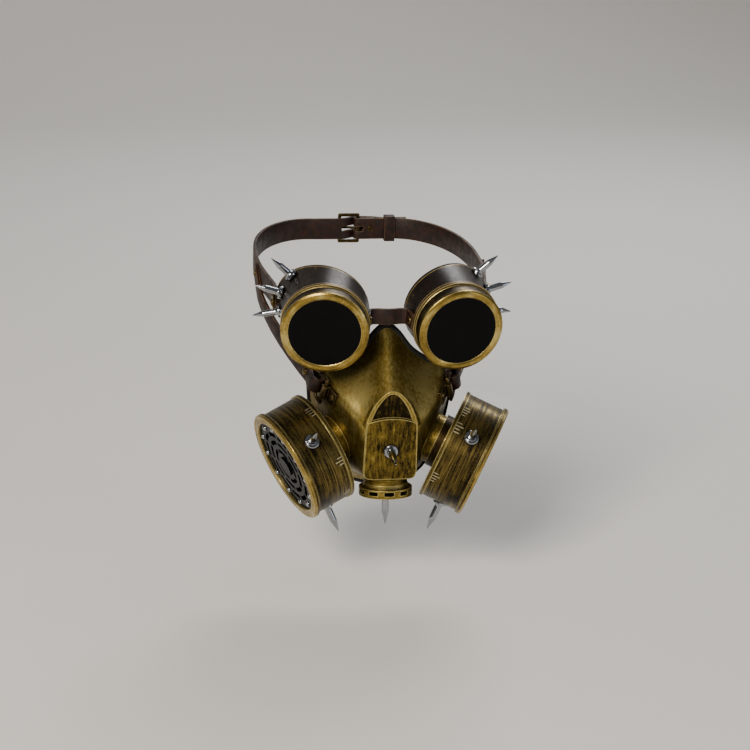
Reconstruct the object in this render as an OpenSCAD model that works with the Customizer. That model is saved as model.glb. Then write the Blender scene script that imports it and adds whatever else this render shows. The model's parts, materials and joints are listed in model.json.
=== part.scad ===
// Masquerade half mask with two filter canisters and a pair of spiked goggles.
// Millimetres. +Z is up and -Y is ahead of the wearer. The origin is the wearer's nose bridge.
// Left and right are the wearer's, so the left side is +X.

/* [Half mask] */
// Wall of the moulded shell
shell_wall = 2.4; // [2:0.2:3]
// Width across the cheeks, over the rear edge
cheek_w = 98; // [92:1:106]
// Height from the nose bridge to the chin edge
shell_h = 116; // [110:1:124]
// How far the rear edge sweeps back beside the jaw
jaw_sweep = 21; // [16:1:24]
// Reach of the nose apex ahead of the nose bridge
nose_reach = 38; // [32:1:44]
// Drop of the nose apex below the nose bridge
nose_drop = 34; // [30:1:38]
// Width of the flat front of the snout
snout_w = 38.6; // [34:0.2:42]
// Height of the flat front, from the apex to its lower edge
snout_h = 65; // [60:1:70]
// Radius of the soft bead along the rear edge
seal_r = 2.6; // [2:0.2:3.2]

/* [Canisters] */
// Outer radius of the drum
drum_r = 38.5; // [32:0.5:42]
// Length of the drum, from its back to the rim ring
drum_len = 28; // [24:1:34]
// Wall of the drum
drum_wall = 2; // [1.6:0.2:2.4]
// How far the rim's face centre stands out beyond the side of the shell
can_beyond = 21; // [19:1:30]
// How far ahead of the nose bridge the rim's face centre is
can_ahead = 12; // [6:1:20]
// How far below the nose bridge the rim's face centre is
can_below = 96; // [90:1:104]
// Angle that each canister looks forwards
can_forward = 19; // [12:1:24]
// Angle that each canister looks downwards
can_down = 22; // [16:1:26]
// Thickness of the rim ring's bead
rim_h = 4; // [3:0.5:5]
// Bore of the neck
neck_bore_r = 11; // [9:0.5:12]

/* [Goggles] */
// Outer radius of the bezel
bezel_r = 29.5; // [27:0.5:32]
// Length of the bezel
bezel_len = 12; // [10:0.5:14]
// Radius of the clear opening in the bezel
sight_r = 24.4; // [22:0.2:25.4]
// Distance of each lens centre from the middle of the mask
lens_x = 46.5; // [45:0.5:50]
// How far ahead of the nose bridge each lens centre is
lens_ahead = 30; // [26:1:34]
// Height of each lens centre above the nose bridge
lens_up = 5; // [4:0.5:9]
// Angle that each lens looks outwards
lens_out = 9; // [4:1:12]
// Angle that each lens looks downwards
lens_down = 10; // [4:1:14]
// Wall of the eyecup
cup_wall = 2.2; // [1.8:0.2:2.6]
// Length of the eyecup's body on the nose side
cup_len = 22; // [20:1:26]
// How much longer the eyecup is on the temple side
temple_extra = 22; // [18:1:24]

/* [Spikes] */
// Length of a spike, with its flange
spike_len = 21.5; // [16:0.5:24]
// Radius of a spike's flange
spike_flange_r = 5; // [4:0.2:5.6]

/* [Straps] */
// Width of the head strap
strap_w = 16; // [14:1:18]
// Width of the cheek straps
cheek_strap_w = 11; // [9:1:12]
// Thickness of the leather
strap_t = 2; // [1.6:0.2:2.4]
// Half the width of the head, to the middle of the strap
head_x = 80; // [76:1:84]
// Distance from the nose bridge to the strap behind the head
head_y = 192; // [184:1:200]

/* [Screw motion] */
// Advance of a bezel or rim ring for each turn
pitch = 3; // [2:0.5:4]

/* [Hidden] */
$fn = 64;
fit = 0.08;          // running fit of a screwed ring over its thread, on the radius
loose = 0.3;         // gap between other pieces that move on each other
thin = 0.05;         // gap between faces that only meet
brass = "#a8893c";
bronze = "#3f3222";
chrome = "#c9ccd0";
leather = "#4a2f20";
black = "#1c1c1e";

// ---- small helpers ----
function unit(v) = v / norm(v);
function mix(a, b, t) = a * (1 - t) + b * t;
function flip_x(p) = [-p.x, p.y, p.z];
// Places local +Z along z, with local +Y as near to up as it can be
function frame(o, z, up = [0, 0, 1]) =
    let (c = unit(z), a = unit(cross(up, c)), b = cross(c, a))
    [[a.x, b.x, c.x, o.x], [a.y, b.y, c.y, o.y], [a.z, b.z, c.z, o.z], [0, 0, 0, 1]];
function local(m, p) = let (q = m * [p.x, p.y, p.z, 1]) [q.x, q.y, q.z];
function turned(m, v) = local(m, v) - local(m, [0, 0, 0]);
module sided(s) {
    if (s > 0) children();
    else mirror([1, 0, 0]) children();
}
// A revolved ring between two radii and two heights
module ring(r_out, r_in, z0, z1) {
    translate([0, 0, z0]) difference() {
        cylinder(r = r_out, h = z1 - z0);
        translate([0, 0, -1]) cylinder(r = r_in, h = z1 - z0 + 2);
    }
}

// ---- surfaces made of closed loops ----
function quad_faces(n, m) = [for (j = [0:m - 2], i = [0:n - 1])
    let (a = j * n + i, b = j * n + (i + 1) % n, c = b + n, d = a + n)
    each [[a, b, c], [a, c, d]]];
function cap_faces(n, at) = concat(
    [[at, at + n - 1, at + 1]],
    [for (i = [1:n / 2 - 2]) each [[at + i, at + n - i, at + n - i - 1], [at + i, at + n - i - 1, at + i + 1]]],
    [[at + n / 2 - 1, at + n / 2 + 1, at + n / 2]]);
function reversed(faces) = [for (f = faces) [f[2], f[1], f[0]]];
// A closed solid from loops of points, each with the same even number of points
module loft(loops) {
    n = len(loops[0]);
    m = len(loops);
    polyhedron([for (l = loops) each l],
        concat(quad_faces(n, m), cap_faces(n, 0), reversed(cap_faces(n, (m - 1) * n))));
}
// A closed ring from loops of points, where the last loop joins the first
module loft_ring(loops) {
    n = len(loops[0]);
    m = len(loops);
    polyhedron([for (l = loops) each l],
        [for (j = [0:m - 1], i = [0:n - 1])
            let (a = j * n + i, b = j * n + (i + 1) % n, c = ((j + 1) % m) * n + (i + 1) % n,
                 d = ((j + 1) % m) * n + i)
            each [[a, c, b], [a, d, c]]]);
}
// A flat band along points, with one outward direction for each point
function along(pts, i) = unit(pts[min(i + 1, len(pts) - 1)] - pts[max(i - 1, 0)]);
module band(pts, outs, w, t) {
    loft([for (i = [0:len(pts) - 1])
        let (side = unit(cross(outs[i], along(pts, i))), out = cross(along(pts, i), side))
        [pts[i] - side * w / 2 + out * t / 2, pts[i] + side * w / 2 + out * t / 2,
         pts[i] + side * w / 2 - out * t / 2, pts[i] - side * w / 2 - out * t / 2]]);
}

// ---- the shell's surface ----
// Half outlines from the middle of the nose to the middle of the chin: the flat front as shares
// of its half width and height, the rear edge as shares of half width, sweep and height, and how
// far the middle of each profile has gone from the one to the other, across, back and down.
front_shape = [[0, 0], [0.28, 0.035], [0.6, 0.145], [0.8, 0.27], [0.9, 0.39], [0.925, 0.52],
               [0.94, 0.66], [0.95, 0.8], [0.95, 0.93], [0.82, 0.99], [0.42, 1], [0, 1]];
rear_shape = [[0, -0.1, 0], [0.16, -0.12, -0.045], [0.36, -0.12, -0.15], [0.62, 0.02, -0.225],
              [0.87, 0.38, -0.26], [1, 0.8, -0.36], [0.98, 1, -0.52], [0.89, 1, -0.69],
              [0.76, 0.95, -0.845], [0.55, 0.76, -0.95], [0.28, 0.57, -0.99], [0, 0.52, -1]];
middle_shape = [[0.5, 0.5, 0.5], [0.5, 0.5, 0.5], [0.52, 0.47, 0.52], [0.68, 0.38, 0.55],
                [0.78, 0.28, 0.5], [0.68, 0.32, 0.5], [0.55, 0.42, 0.5], [0.4, 0.55, 0.5],
                [0.35, 0.6, 0.4], [0.4, 0.6, 0.2], [0.5, 0.6, 0.1], [0.5, 0.6, 0.1]];
front_lean = 5.3;    // the flat front leans back by this angle at its foot
front_m = frame([0, -nose_reach, -nose_drop], [0, -cos(front_lean), -sin(front_lean)]);
fronts = [for (p = front_shape) local(front_m, [p.x * snout_w / 2, -p.y * snout_h, 0])];
rears = [for (p = rear_shape) [p.x * cheek_w / 2, p.y * jaw_sweep, p.z * shell_h]];
middles = [for (k = [0:len(fronts) - 1]) [for (c = [0:2])
    mix(fronts[k][c], rears[k][c], middle_shape[k][c])]];
last = len(fronts) - 1;
function spline(a, b, c, d, t) =
    0.5 * ((2 * b) + (c - a) * t + (2 * a - 5 * b + 4 * c - d) * t * t + (3 * b - a - 3 * c + d) * t * t * t);
function pick(list, k) = let (j = min(floor(k), last - 1))
    spline(j == 0 ? flip_x(list[1]) : list[j - 1], list[j], list[j + 1],
           j + 2 > last ? flip_x(list[last - 1]) : list[j + 2], k - j);
// w runs once round the shell, from the nose by the left cheek and the chin; t from front to rear
function wrap(w) = w < 0 ? w + 2 * last : w >= 2 * last ? w - 2 * last : w;
function half_at(w, t) = let (f = pick(fronts, w), c = pick(middles, w), r = pick(rears, w))
    f * (1 - t) * (1 - t) + c * 2 * t * (1 - t) + r * t * t;
function shell_at(w0, t) = let (w = wrap(w0)) w <= last ? half_at(w, t) : flip_x(half_at(2 * last - w, t));
function shell_normal(w, t) = unit(cross(
    shell_at(w + 0.1, t) - shell_at(w - 0.1, t), shell_at(w, t + 0.02) - shell_at(w, t - 0.02)));
shell_sub = 2;       // facets for each outline point
shell_steps = 7;     // facets from front to rear
shell_n = 2 * last * shell_sub;
seal_push = 4;       // how far the hollow runs out behind the rear edge
back = turned(front_m, [0, 0, -1]);
module shell_outer() {
    loft([for (j = [shell_steps:-1:0]) [for (i = [0:shell_n - 1]) shell_at(i / shell_sub, j / shell_steps)]]);
}
module shell_hollow() {
    function inner(i, t) = shell_at(i / shell_sub, t) - shell_normal(i / shell_sub, t) * shell_wall;
    loft(concat(
        [[for (i = [0:shell_n - 1]) inner(i, 1) + unit(inner(i, 1) - inner(i, 0.9)) * seal_push]],
        [for (j = [shell_steps:-1:1]) [for (i = [0:shell_n - 1]) inner(i, j / shell_steps)]],
        [[for (i = [0:shell_n - 1]) inner(i, 0) + back * shell_wall]]));
}

// ---- frames of the canister, the lens and the valve, on the left side ----
can_dir = [cos(can_down) * cos(can_forward), -cos(can_down) * sin(can_forward), -sin(can_down)];
can_x = cheek_w / 2 + can_beyond;
can_m = frame([can_x, -can_ahead, -can_below], can_dir);
lens_dir = [cos(lens_down) * sin(lens_out), -cos(lens_down) * cos(lens_out), -sin(lens_down)];
lens_m = frame([lens_x, -lens_ahead, lens_up], lens_dir);
drum_back = -rim_h - drum_len;
neck_len = 5;        // from the shell's boss to the back of the drum
boss_face = drum_back - neck_len;
boss_r = 17.5;
port_r = 13;         // hole for the neck, in the shell and in the drum's back
port_deep = 26;      // length of the boss, which the hollow cuts short
valve_tilt = 8;      // the valve looks down and this much ahead
valve_m = frame([0, -15, -nose_drop - snout_h - 2.5], [0, -sin(valve_tilt), -cos(valve_tilt)], [0, 1, 0]);
valve_r = 15;
valve_bore_r = 11;
valve_barrel_h = 8;
valve_cover_r = 18.4;
valve_cover_h = 6;
plate_h = 1.2;       // the snout plate stands this far out, and the recess is as deep
plate_top = 0.38;    // where the plate's arched top crosses the front, as a share of its height
arch_rise = 5;
snout_spike_down = 0.67;
module front_place(share) multmatrix(front_m) translate([0, -share * snout_h, 0]) children();
function front_half(x_cut) = [for (p = front_shape) [p.x * (snout_w / 2 - x_cut), -p.y * snout_h]];
// The flat front's outline, drawn in by an edge
module front_outline(edge) {
    half = front_half(edge);
    polygon(concat(half, [for (i = [last - 1:-1:1]) [-half[i].x, half[i].y]]));
}
module below_arch() {
    top = -plate_top * snout_h;
    w = snout_w / 2 + 1;
    r = (w * w + arch_rise * arch_rise) / (2 * arch_rise);
    intersection() {
        translate([-w, -snout_h - 2]) square([2 * w, snout_h + 2 + top + arch_rise + 1]);
        union() {
            translate([-w, -snout_h - 2]) square([2 * w, snout_h + 2 + top]);
            translate([0, top + arch_rise - r]) circle(r = r, $fn = 180);
        }
    }
}

// ---- sub-parts of the half mask ----
module mask_shell() {
    color(brass) difference() {
        union() {
            shell_outer();
            for (s = [1, -1]) sided(s) multmatrix(can_m)
                translate([0, 0, boss_face - port_deep]) cylinder(r = boss_r, h = port_deep);
            multmatrix(valve_m) translate([0, 0, -14]) cylinder(r = valve_r + 1.5, h = 14);
            multmatrix(front_m) linear_extrude(plate_h) intersection() {
                front_outline(0.4);
                below_arch();
            }
        }
        shell_hollow();
        multmatrix(front_m) translate([0, 0, -plate_h]) linear_extrude(2 * plate_h + 1) difference() {
            translate([0, -2]) front_outline(2.6);
            below_arch();
        }
        for (s = [1, -1]) sided(s) multmatrix(can_m)
            translate([0, 0, boss_face - port_deep - 1]) cylinder(r = port_r, h = port_deep + 2);
        multmatrix(valve_m) translate([0, 0, -20]) cylinder(r = valve_bore_r, h = 21);
        front_place(snout_spike_down) {
            translate([0, 0, -shell_wall - 2]) cylinder(r = 1.6, h = 8, $fn = 24);
            translate([0, 0, -shell_wall - thin - 5]) cylinder(r = 3.6, h = 5, $fn = 24);
        }
        for (s = [1, -1]) sided(s) multmatrix(tab_m) translate([-tab_bar - 1, 0, 0]) rivet_hole();
    }
}
seal_sides = 8;
module face_seal() {
    n = shell_n;
    function centre(i) = let (p = shell_at(i / shell_sub, 1))
        p - shell_normal(i / shell_sub, 1) * shell_wall / 2
        + unit(p - shell_at(i / shell_sub, 0.92)) * (seal_r + 0.35);
    color(black) difference() {
        loft_ring([for (i = [0:n - 1])
        let (c = centre(i), run = unit(centre((i + 1) % n) - centre((i + n - 1) % n)),
             a = shell_normal(i / shell_sub, 1), b = cross(run, a))
        [for (q = [0:seal_sides - 1]) c + seal_r * (a * cos(q * 360 / seal_sides) + b * sin(q * 360 / seal_sides))]]);
        difference() {
            shell_outer();
            shell_hollow();
        }
    }
}
spike_bore_r = 1.5;
module spike(length = spike_len, flange_r = spike_flange_r) {
    shaft_r = flange_r * 0.52;
    rotate_extrude() polygon([
        [spike_bore_r, 0], [flange_r, 0], [flange_r, 1.2], [flange_r - 0.6, 1.8], [shaft_r + 0.5, 1.8],
        [shaft_r, 2.6], [shaft_r * 0.95, length * 0.6], [0.3, length - 0.2], [0, length],
        [0, 5], [spike_bore_r, 4.6]]);
}
// The screw that holds a spike from inside, with its head under a wall
module spike_screw(wall) {
    rotate_extrude() polygon([
        [0, -wall - 2], [2, -wall - 1.9], [3, -wall - 1], [3, -wall], [1.35, -wall], [1.35, 4.2], [0, 4.2]]);
}
module snout_spike() color(chrome) front_place(snout_spike_down) translate([0, 0, plate_h + thin]) spike();
module valve_spike() color(chrome) multmatrix(valve_m) translate([0, 0, valve_end + thin]) spike();
module shell_screws() {
    color(chrome) {
        front_place(snout_spike_down) translate([0, 0, plate_h + thin]) spike_screw(shell_wall + plate_h + 2 * thin);
        multmatrix(valve_m) translate([0, 0, valve_end + thin]) spike_screw(cover_floor + 2 * thin);
    }
}
module valve_barrel() {
    color(brass) difference() {
        multmatrix(valve_m) {
            translate([0, 0, thin]) cylinder(r = valve_r, h = valve_barrel_h - thin);
            translate([0, 0, valve_barrel_h - 2.4]) cylinder(r = valve_r + 0.6, h = 1.2);
        }
        shell_outer();
        multmatrix(valve_m) translate([0, 0, -6]) cylinder(r = valve_bore_r - 2.2, h = valve_barrel_h + 8);
    }
    color(brass) multmatrix(valve_m) ring(valve_bore_r - thin, valve_bore_r - 2.2, -5, 1);
}
cover_floor = 2;
cover_lip = 1.2;
valve_end = valve_barrel_h + valve_cover_h;
valve_windows = 10;
module valve_cover() {
    gallery = valve_cover_h - cover_floor - cover_lip;
    color(brass) multmatrix(valve_m) difference() {
        translate([0, 0, valve_barrel_h + thin]) cylinder(r = valve_cover_r, h = valve_cover_h - thin);
        translate([0, 0, valve_barrel_h + cover_lip]) cylinder(r = valve_cover_r - 2.2, h = gallery);
        translate([0, 0, valve_barrel_h - 1]) cylinder(r = valve_bore_r, h = cover_lip + 2);
        translate([0, 0, valve_end - cover_floor - 1]) cylinder(r = 1.6, h = 4, $fn = 24);
        for (i = [0:valve_windows - 1]) rotate([0, 0, (i + 0.5) * 360 / valve_windows])
            translate([valve_cover_r - 4, -3.4, valve_barrel_h + cover_lip]) cube([8, 6.8, gallery]);
    }
}
module valve_flap() color(black) multmatrix(valve_m) translate([0, 0, valve_barrel_h + thin]) ring(valve_bore_r - 0.6, 2, 0, 1.1);

// ---- canisters, on the left side ----
drum_in_r = drum_r - drum_wall;
skirt_r = drum_in_r - fit;
skirt_wall = 1.8;
skirt_len = 8;
rim_over = 1.6;      // how far the rim ring stands out past the drum
rim_in_r = drum_r - 5;
grille_t = 2.4;
grille_r = skirt_r - skirt_wall - loose;
spike_deep = 16;     // depth of the spikes behind the rim's face
drum_spike_angles = [38, -78];   // from straight ahead, up and down round the drum
module neck() {
    color(bronze) multmatrix(can_m) difference() {
        union() {
            translate([0, 0, boss_face - 9]) cylinder(r = port_r - thin, h = neck_len + 9 + 6);
            translate([0, 0, boss_face + thin]) cylinder(r = boss_r + 1.5, h = neck_len - 2 * thin);
        }
        translate([0, 0, boss_face - 12]) cylinder(r = neck_bore_r, h = 40);
    }
}
module neck_nut() {
    color(bronze) multmatrix(can_m) translate([0, 0, drum_back + drum_wall + thin]) difference() {
        cylinder(r = port_r + 4, h = 3.4, $fn = 8);
        translate([0, 0, -1]) cylinder(r = port_r + thin, h = 6);
    }
}
module drum() {
    color(brass) multmatrix(can_m) difference() {
        union() {
            translate([0, 0, drum_back]) cylinder(r = drum_r, h = drum_len - thin);
            translate([0, 0, drum_back]) cylinder(r = drum_r + 0.9, h = 2.6);
        }
        translate([0, 0, drum_back + drum_wall]) cylinder(r = drum_in_r, h = drum_len);
        translate([0, 0, drum_back - 1]) cylinder(r = port_r, h = 6);
        for (a = drum_spike_angles) drum_hole(a) translate([0, 0, -drum_wall - 2]) cylinder(r = 1.6, h = 8, $fn = 24);
    }
}
// Local -X of the canister is ahead, so angle 0 is the side that faces forwards
function drum_hole_m(a) = frame([-drum_r * cos(a), drum_r * sin(a), -spike_deep], [-cos(a), sin(a), 0]);
module drum_hole(a) multmatrix(drum_hole_m(a)) children();
module filter_pad() {
    color("#d8d2c0") multmatrix(can_m) translate([0, 0, drum_back + drum_wall + 4]) difference() {
        cylinder(r = drum_in_r - 0.5, h = 5);
        translate([0, 0, -1]) cylinder(r = 2, h = 8);
    }
}
module drum_spikes() color(chrome) multmatrix(can_m) for (a = drum_spike_angles) drum_hole(a) translate([0, 0, thin]) spike();
module drum_screws() {
    color(chrome) multmatrix(can_m) for (a = drum_spike_angles) drum_hole(a)
        translate([0, 0, thin]) spike_screw(drum_wall + 0.25);
}
module rim_ring() {
    color(brass) multmatrix(can_m) difference() {
        union() {
            rotate_extrude() polygon([
                [rim_in_r, -1.8], [rim_in_r, -0.8], [rim_in_r + 0.8, 0], [drum_r - 2, 0], [drum_r - 1.2, -0.5],
                [drum_r, 0], [drum_r + rim_over - 0.6, -0.4], [drum_r + rim_over, -1.2],
                [drum_r + rim_over, -rim_h + 0.6], [drum_r + rim_over - 0.6, -rim_h], [skirt_r - 0.4, -rim_h],
                [skirt_r - 0.4, -1.8]]);
            ring(skirt_r, skirt_r - skirt_wall, -rim_h - skirt_len, -1.2);
        }
    }
}
stud_ring_r = drum_r - 8.5;
// Middle radius, width and number of the slots in each ring
slot_rings = [[stud_ring_r * 0.4, 3, 5], [stud_ring_r * 37 / 60, 3.2, 8], [stud_ring_r * 5 / 6, 3.2, 11]];
stud_count = 12;
module grille() {
    color(black) multmatrix(can_m) translate([0, 0, -1.8 - thin - grille_t]) difference() {
        union() {
            cylinder(r = grille_r, h = grille_t);
            translate([0, 0, -3]) ring(grille_r, grille_r - 2, 0, 3.01);
            cylinder(r = 7, h = grille_t + 1.2);
        }
        for (s = slot_rings, i = [0:s[2] - 1]) rotate([0, 0, i * 360 / s[2]])
            translate([0, 0, -1]) rotate_extrude(angle = 360 / s[2] - 640 / (s[0] * 5))
                translate([s[0] - s[1] / 2, 0]) square([s[1], grille_t + 2]);
        for (i = [0:stud_count - 1]) rotate([0, 0, i * 360 / stud_count])
            translate([stud_ring_r, 0, -1]) cylinder(r = 0.9, h = grille_t + 2, $fn = 24);
    }
}
module grille_studs() {
    color(chrome) multmatrix(can_m) for (i = [0:stud_count - 1]) rotate([0, 0, i * 360 / stud_count])
        translate([stud_ring_r, 0, -1.8]) rotate_extrude($fn = 24) polygon([
            [0, -grille_t], [0.85, -grille_t], [0.85, 0], [1.9, 0], [1.7, 0.7], [1, 1.2], [0, 1.35]]);
}

// ---- goggles, on the left side ----
collar_r = bezel_r - 2.4;
thread_h = 0.4;
bezel_bore_r = collar_r + thread_h + fit;
collar_in_r = sight_r + 0.4;
lens_t = 2;
lens_face = -1.5;
gasket_t = 1;
cup_front = -bezel_len - 2;
cup_steps = 5;
cup_n = 36;
// a is the angle round the cup from the temple, up over the brow; t runs from the collar to the base
function cup_at(a, t, inset = 0) =
    let (grow = pow(t, 1.6), wide = (cos(a) > 0 ? 7 * cos(a) : 1) * grow, tall = 1.5 * grow,
         deep = cup_len + temple_extra * pow(0.5 + 0.5 * cos(a), 2.2))
    [(bezel_r - 1 + wide - inset) * cos(a), (bezel_r - 1 + tall - inset) * sin(a), cup_front - deep * t];
function cup_normal(a, t) = unit(cross(cup_at(a + 2, t) - cup_at(a - 2, t), cup_at(a, t - 0.05) - cup_at(a, t + 0.05)));
cup_spikes = [[42, 0.84], [17, 0.66], [-9, 0.62]];   // angle and place of each spike
cup_spike_len = 19;
cup_spike_flange_r = 4.6;
module cup_solid(inset, past) {
    loft(concat(
        [[for (i = [0:cup_n - 1]) cup_at(i * 360 / cup_n, 0, inset) + [0, 0, past]]],
        [for (j = [inset > 0 ? 1 : 1:cup_steps]) [for (i = [0:cup_n - 1])
            cup_at(i * 360 / cup_n, j / cup_steps, inset)]],
        past > 0 ? [[for (i = [0:cup_n - 1]) cup_at(i * 360 / cup_n, 1, inset) - [0, 0, past]]] : []));
}
module eyecup() {
    color(bronze) multmatrix(lens_m) difference() {
        union() {
            cup_solid(0, 0);
            translate([0, 0, cup_front - 1]) cylinder(r = bezel_r + 0.8, h = 3 - thin);
            translate([0, 0, cup_front - 1]) cylinder(r = collar_r, h = bezel_len + 3 + lens_face - lens_t - gasket_t - 2 * thin);
            for (z = [0:2]) translate([0, 0, cup_front + 3 + 2 * z]) cylinder(r = collar_r + thread_h, h = 0.8);
        }
        cup_solid(cup_wall, 3);
        translate([0, 0, cup_front - 4]) cylinder(r = collar_in_r, h = bezel_len + 8);
        for (s = cup_spikes) cup_spike_place(s) translate([0, 0, -cup_wall - 2]) cylinder(r = 1.6, h = 6, $fn = 24);
        cup_place(lug_at) for (x = lug_rivets) translate([x, 0, 0]) rivet_hole();
        cup_place(bridge_rivet) rivet_hole();
    }
}
// A spike stands halfway between square to the cup's side and square to its axis
function cup_spike_m(s) = frame(cup_at(s[0], s[1]), unit(cup_normal(s[0], s[1]) + 1.5 * [cos(s[0]), sin(s[0]), 0]));
module cup_spike_place(s) multmatrix(cup_spike_m(s)) children();
module eyecup_spikes() {
    color(chrome) multmatrix(lens_m) for (s = cup_spikes) cup_spike_place(s)
        translate([0, 0, 0.6]) spike(cup_spike_len, cup_spike_flange_r);
}
module eyecup_screws() {
    color(chrome) multmatrix(lens_m) for (s = cup_spikes) cup_spike_place(s)
        translate([0, 0, 0.6]) spike_screw(cup_wall + 1);
}
pad_r = 2.6;
module eyecup_pad() {
    function centre(i) = cup_at(i * 360 / cup_n, 1, pad_r + 0.6) - [0, 0, pad_r + thin];
    color(leather) multmatrix(lens_m) loft_ring([for (i = [0:cup_n - 1])
        let (a = i * 360 / cup_n, u = [cos(a), sin(a), 0])
        [for (q = [0:7]) centre(i) + pad_r * (u * cos(q * 45) - [0, 0, 1] * sin(q * 45))]]);
}
module eye_gasket() {
    color(black) multmatrix(lens_m) ring(collar_r - 0.6, collar_in_r, lens_face - lens_t - gasket_t, lens_face - lens_t - thin);
}
module lens() {
    color("#101418") multmatrix(lens_m) translate([0, 0, lens_face - lens_t]) cylinder(r = collar_r - 0.3, h = lens_t);
}
module bezel() {
    color(brass) multmatrix(lens_m) rotate_extrude() polygon([
        [sight_r, lens_face + thin], [sight_r, -0.9], [sight_r + 1, -0.2], [sight_r + 2.4, 0], [bezel_r - 1.2, -0.3],
        [bezel_r, -1.4], [bezel_r, -3.6], [bezel_r - 0.6, -4.2], [bezel_r - 0.6, -bezel_len + 1],
        [bezel_r - 0.2, -bezel_len + 0.6], [bezel_r - 0.2, -bezel_len + thin],
        [bezel_bore_r, -bezel_len + thin], [bezel_bore_r, lens_face + thin]]);
}

// ---- rivets and straps ----
rivet_r = 1.2;
function cup_m(p) = frame(cup_at(p[0], p[1]), cup_normal(p[0], p[1]));
module cup_place(p) multmatrix(cup_m(p)) children();
module rivet_hole() translate([0, 0, -8]) cylinder(r = rivet_r + thin, h = 16, $fn = 24);
// A rivet along +Z whose domed head sits at top and whose tail sits at bottom
module rivet(top, bottom) {
    rotate_extrude($fn = 24) polygon([
        [0, bottom - 1], [1.9, bottom - 0.8], [2.3, bottom], [rivet_r, bottom], [rivet_r, top], [2.6, top],
        [2.3, top + 0.6], [1.4, top + 1], [0, top + 1.1]]);
}
// Points along a smooth curve through the given ones
function smooth(pts, n) = [for (i = [0:len(pts) - 2], j = [0:n - 1])
    spline(pts[max(i - 1, 0)], pts[i], pts[i + 1], pts[min(i + 2, len(pts) - 1)], j / n)];

bridge_rivet = [180, 0.34];
bridge_h = 11;
bridge_ahead = 1.5;  // the bridge's middle stands this far ahead of its ends
function bridge_side(t) = local(lens_m, cup_at(180, t) + cup_normal(180, t) * (strap_t / 2 - 0.5));
module nose_bridge() {
    a = bridge_side(0.16);
    b = bridge_side(0.5);
    c = bridge_side(0.62) - [1.2, 0, 0];
    d = [c.x - 4, c.y + 0.4, c.z];
    half = [a, mix(a, b, 0.5), b, c, d, [d.x / 2, d.y - bridge_ahead * 0.7, d.z], [0, d.y - bridge_ahead, d.z]];
    all = concat(half, [for (i = [len(half) - 2:-1:0]) flip_x(half[i])]);
    outs = [for (i = [0:len(all) - 1]) unit(cross(along(all, i), [0, 0, -1]))];
    color(leather) difference() {
        band(all, outs, bridge_h, strap_t);
        for (s = [1, -1]) sided(s) multmatrix(lens_m) {
            cup_solid(0, 0);
            cup_place(bridge_rivet) rivet_hole();
        }
    }
}
module bridge_rivets() {
    color(bronze) for (s = [1, -1]) sided(s) multmatrix(lens_m) cup_place(bridge_rivet)
        rivet(strap_t - 0.25, -cup_wall - 0.5);
}

// The tab on the cheek that carries the D-ring, along +X of its frame, with the ring's bar along +Y
tab_w = 4.4;
tab_t = 0.64;
strap_heading = [0.62, 0.68, 0.38];
tab_normal = shell_normal(tab_w, tab_t);
tab_m = frame(shell_at(tab_w, tab_t), tab_normal, cross(tab_normal, strap_heading));
wire_r = 1.25;
ring_half = 9;       // half the length of the ring's straight bar
ring_reach = 11.5;   // from the bar to the far side of the ring
bar_up = 3.6;        // height of the bar above the cheek
tab_bar = 3;         // how far the bar is from the tab's rivet
tab_half = 5;
barrel_r = wire_r + 1.2;
module ring_tab() {
    color(bronze) difference() {
        multmatrix(tab_m) difference() {
            union() {
                translate([-tab_bar - 5, -tab_half, -1.5]) cube([tab_bar + 9, 2 * tab_half, 3]);
                translate([tab_bar, 0, bar_up]) rotate([90, 0, 0]) cylinder(r = barrel_r, h = 2 * tab_half, center = true);
                translate([tab_bar - 2, -tab_half, 0]) cube([4, 2 * tab_half, bar_up]);
            }
            translate([tab_bar, 0, bar_up]) rotate([90, 0, 0]) cylinder(r = wire_r + fit, h = 4 * tab_half, center = true);
            translate([-tab_bar - 1, 0, 0]) rivet_hole();
        }
        translate(tab_normal * 0.3) shell_outer();
    }
}
module d_ring() {
    arc_r = ring_half;
    mid = ring_reach - arc_r;
    color(bronze) multmatrix(tab_m) translate([tab_bar, 0, bar_up]) {
        rotate([90, 0, 0]) cylinder(r = wire_r, h = 2 * ring_half, center = true);
        for (s = [1, -1]) translate([0, s * ring_half, 0]) {
            sphere(r = wire_r);
            rotate([0, 90, 0]) cylinder(r = wire_r, h = mid);
        }
        translate([mid, 0, 0]) rotate([0, 0, -90]) rotate_extrude(angle = 180) translate([arc_r, 0]) circle(r = wire_r, $fn = 24);
    }
}

// The head strap's line: beside the head, then straight behind it
head_z = 15;
strap_rise = 5;      // the strap is this much higher behind the head
function head_pt(x, y) = [x, y, head_z + strap_rise * y / head_y];
strap_gap = 0.1;     // between the strap and the eyecup that it is riveted to
function strap_on_cup(t) = local(lens_m, cup_at(0, t) + cup_normal(0, 0.9) * (strap_t / 2 + strap_gap));
cup_fore = strap_on_cup(0.79);
cup_rear = strap_on_cup(1);
head_line = [cup_rear, head_pt(head_x - 1.5, head_y * 0.34), head_pt(head_x, head_y * 0.48),
             head_pt(head_x - 1, head_y * 0.63), head_pt(head_x - 6, head_y * 0.77), head_pt(head_x - 16, head_y * 0.89),
             head_pt(head_x - 30, head_y * 0.97), head_pt(head_x - 44, head_y), head_pt(24, head_y)];
cheek_join = 7;      // place along the smoothed line where the cheek strap is riveted
side_pts = concat([cup_fore], smooth(head_line, 4));
side_outs = [for (i = [0:len(side_pts) - 1]) unit(cross(along(side_pts, i), [0, 0, 1]))];
bar_r = 1.3;
bar_x = 7;
bar_y = head_y + strap_t / 2 + 0.1 + bar_r;
loop_r = bar_r + 0.1 + strap_t / 2;
lap = strap_t + thin;
rear_rivet_x = 16.2;
lug_at = [0, 0.89];  // middle of the plate that holds the strap on the eyecup
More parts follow.
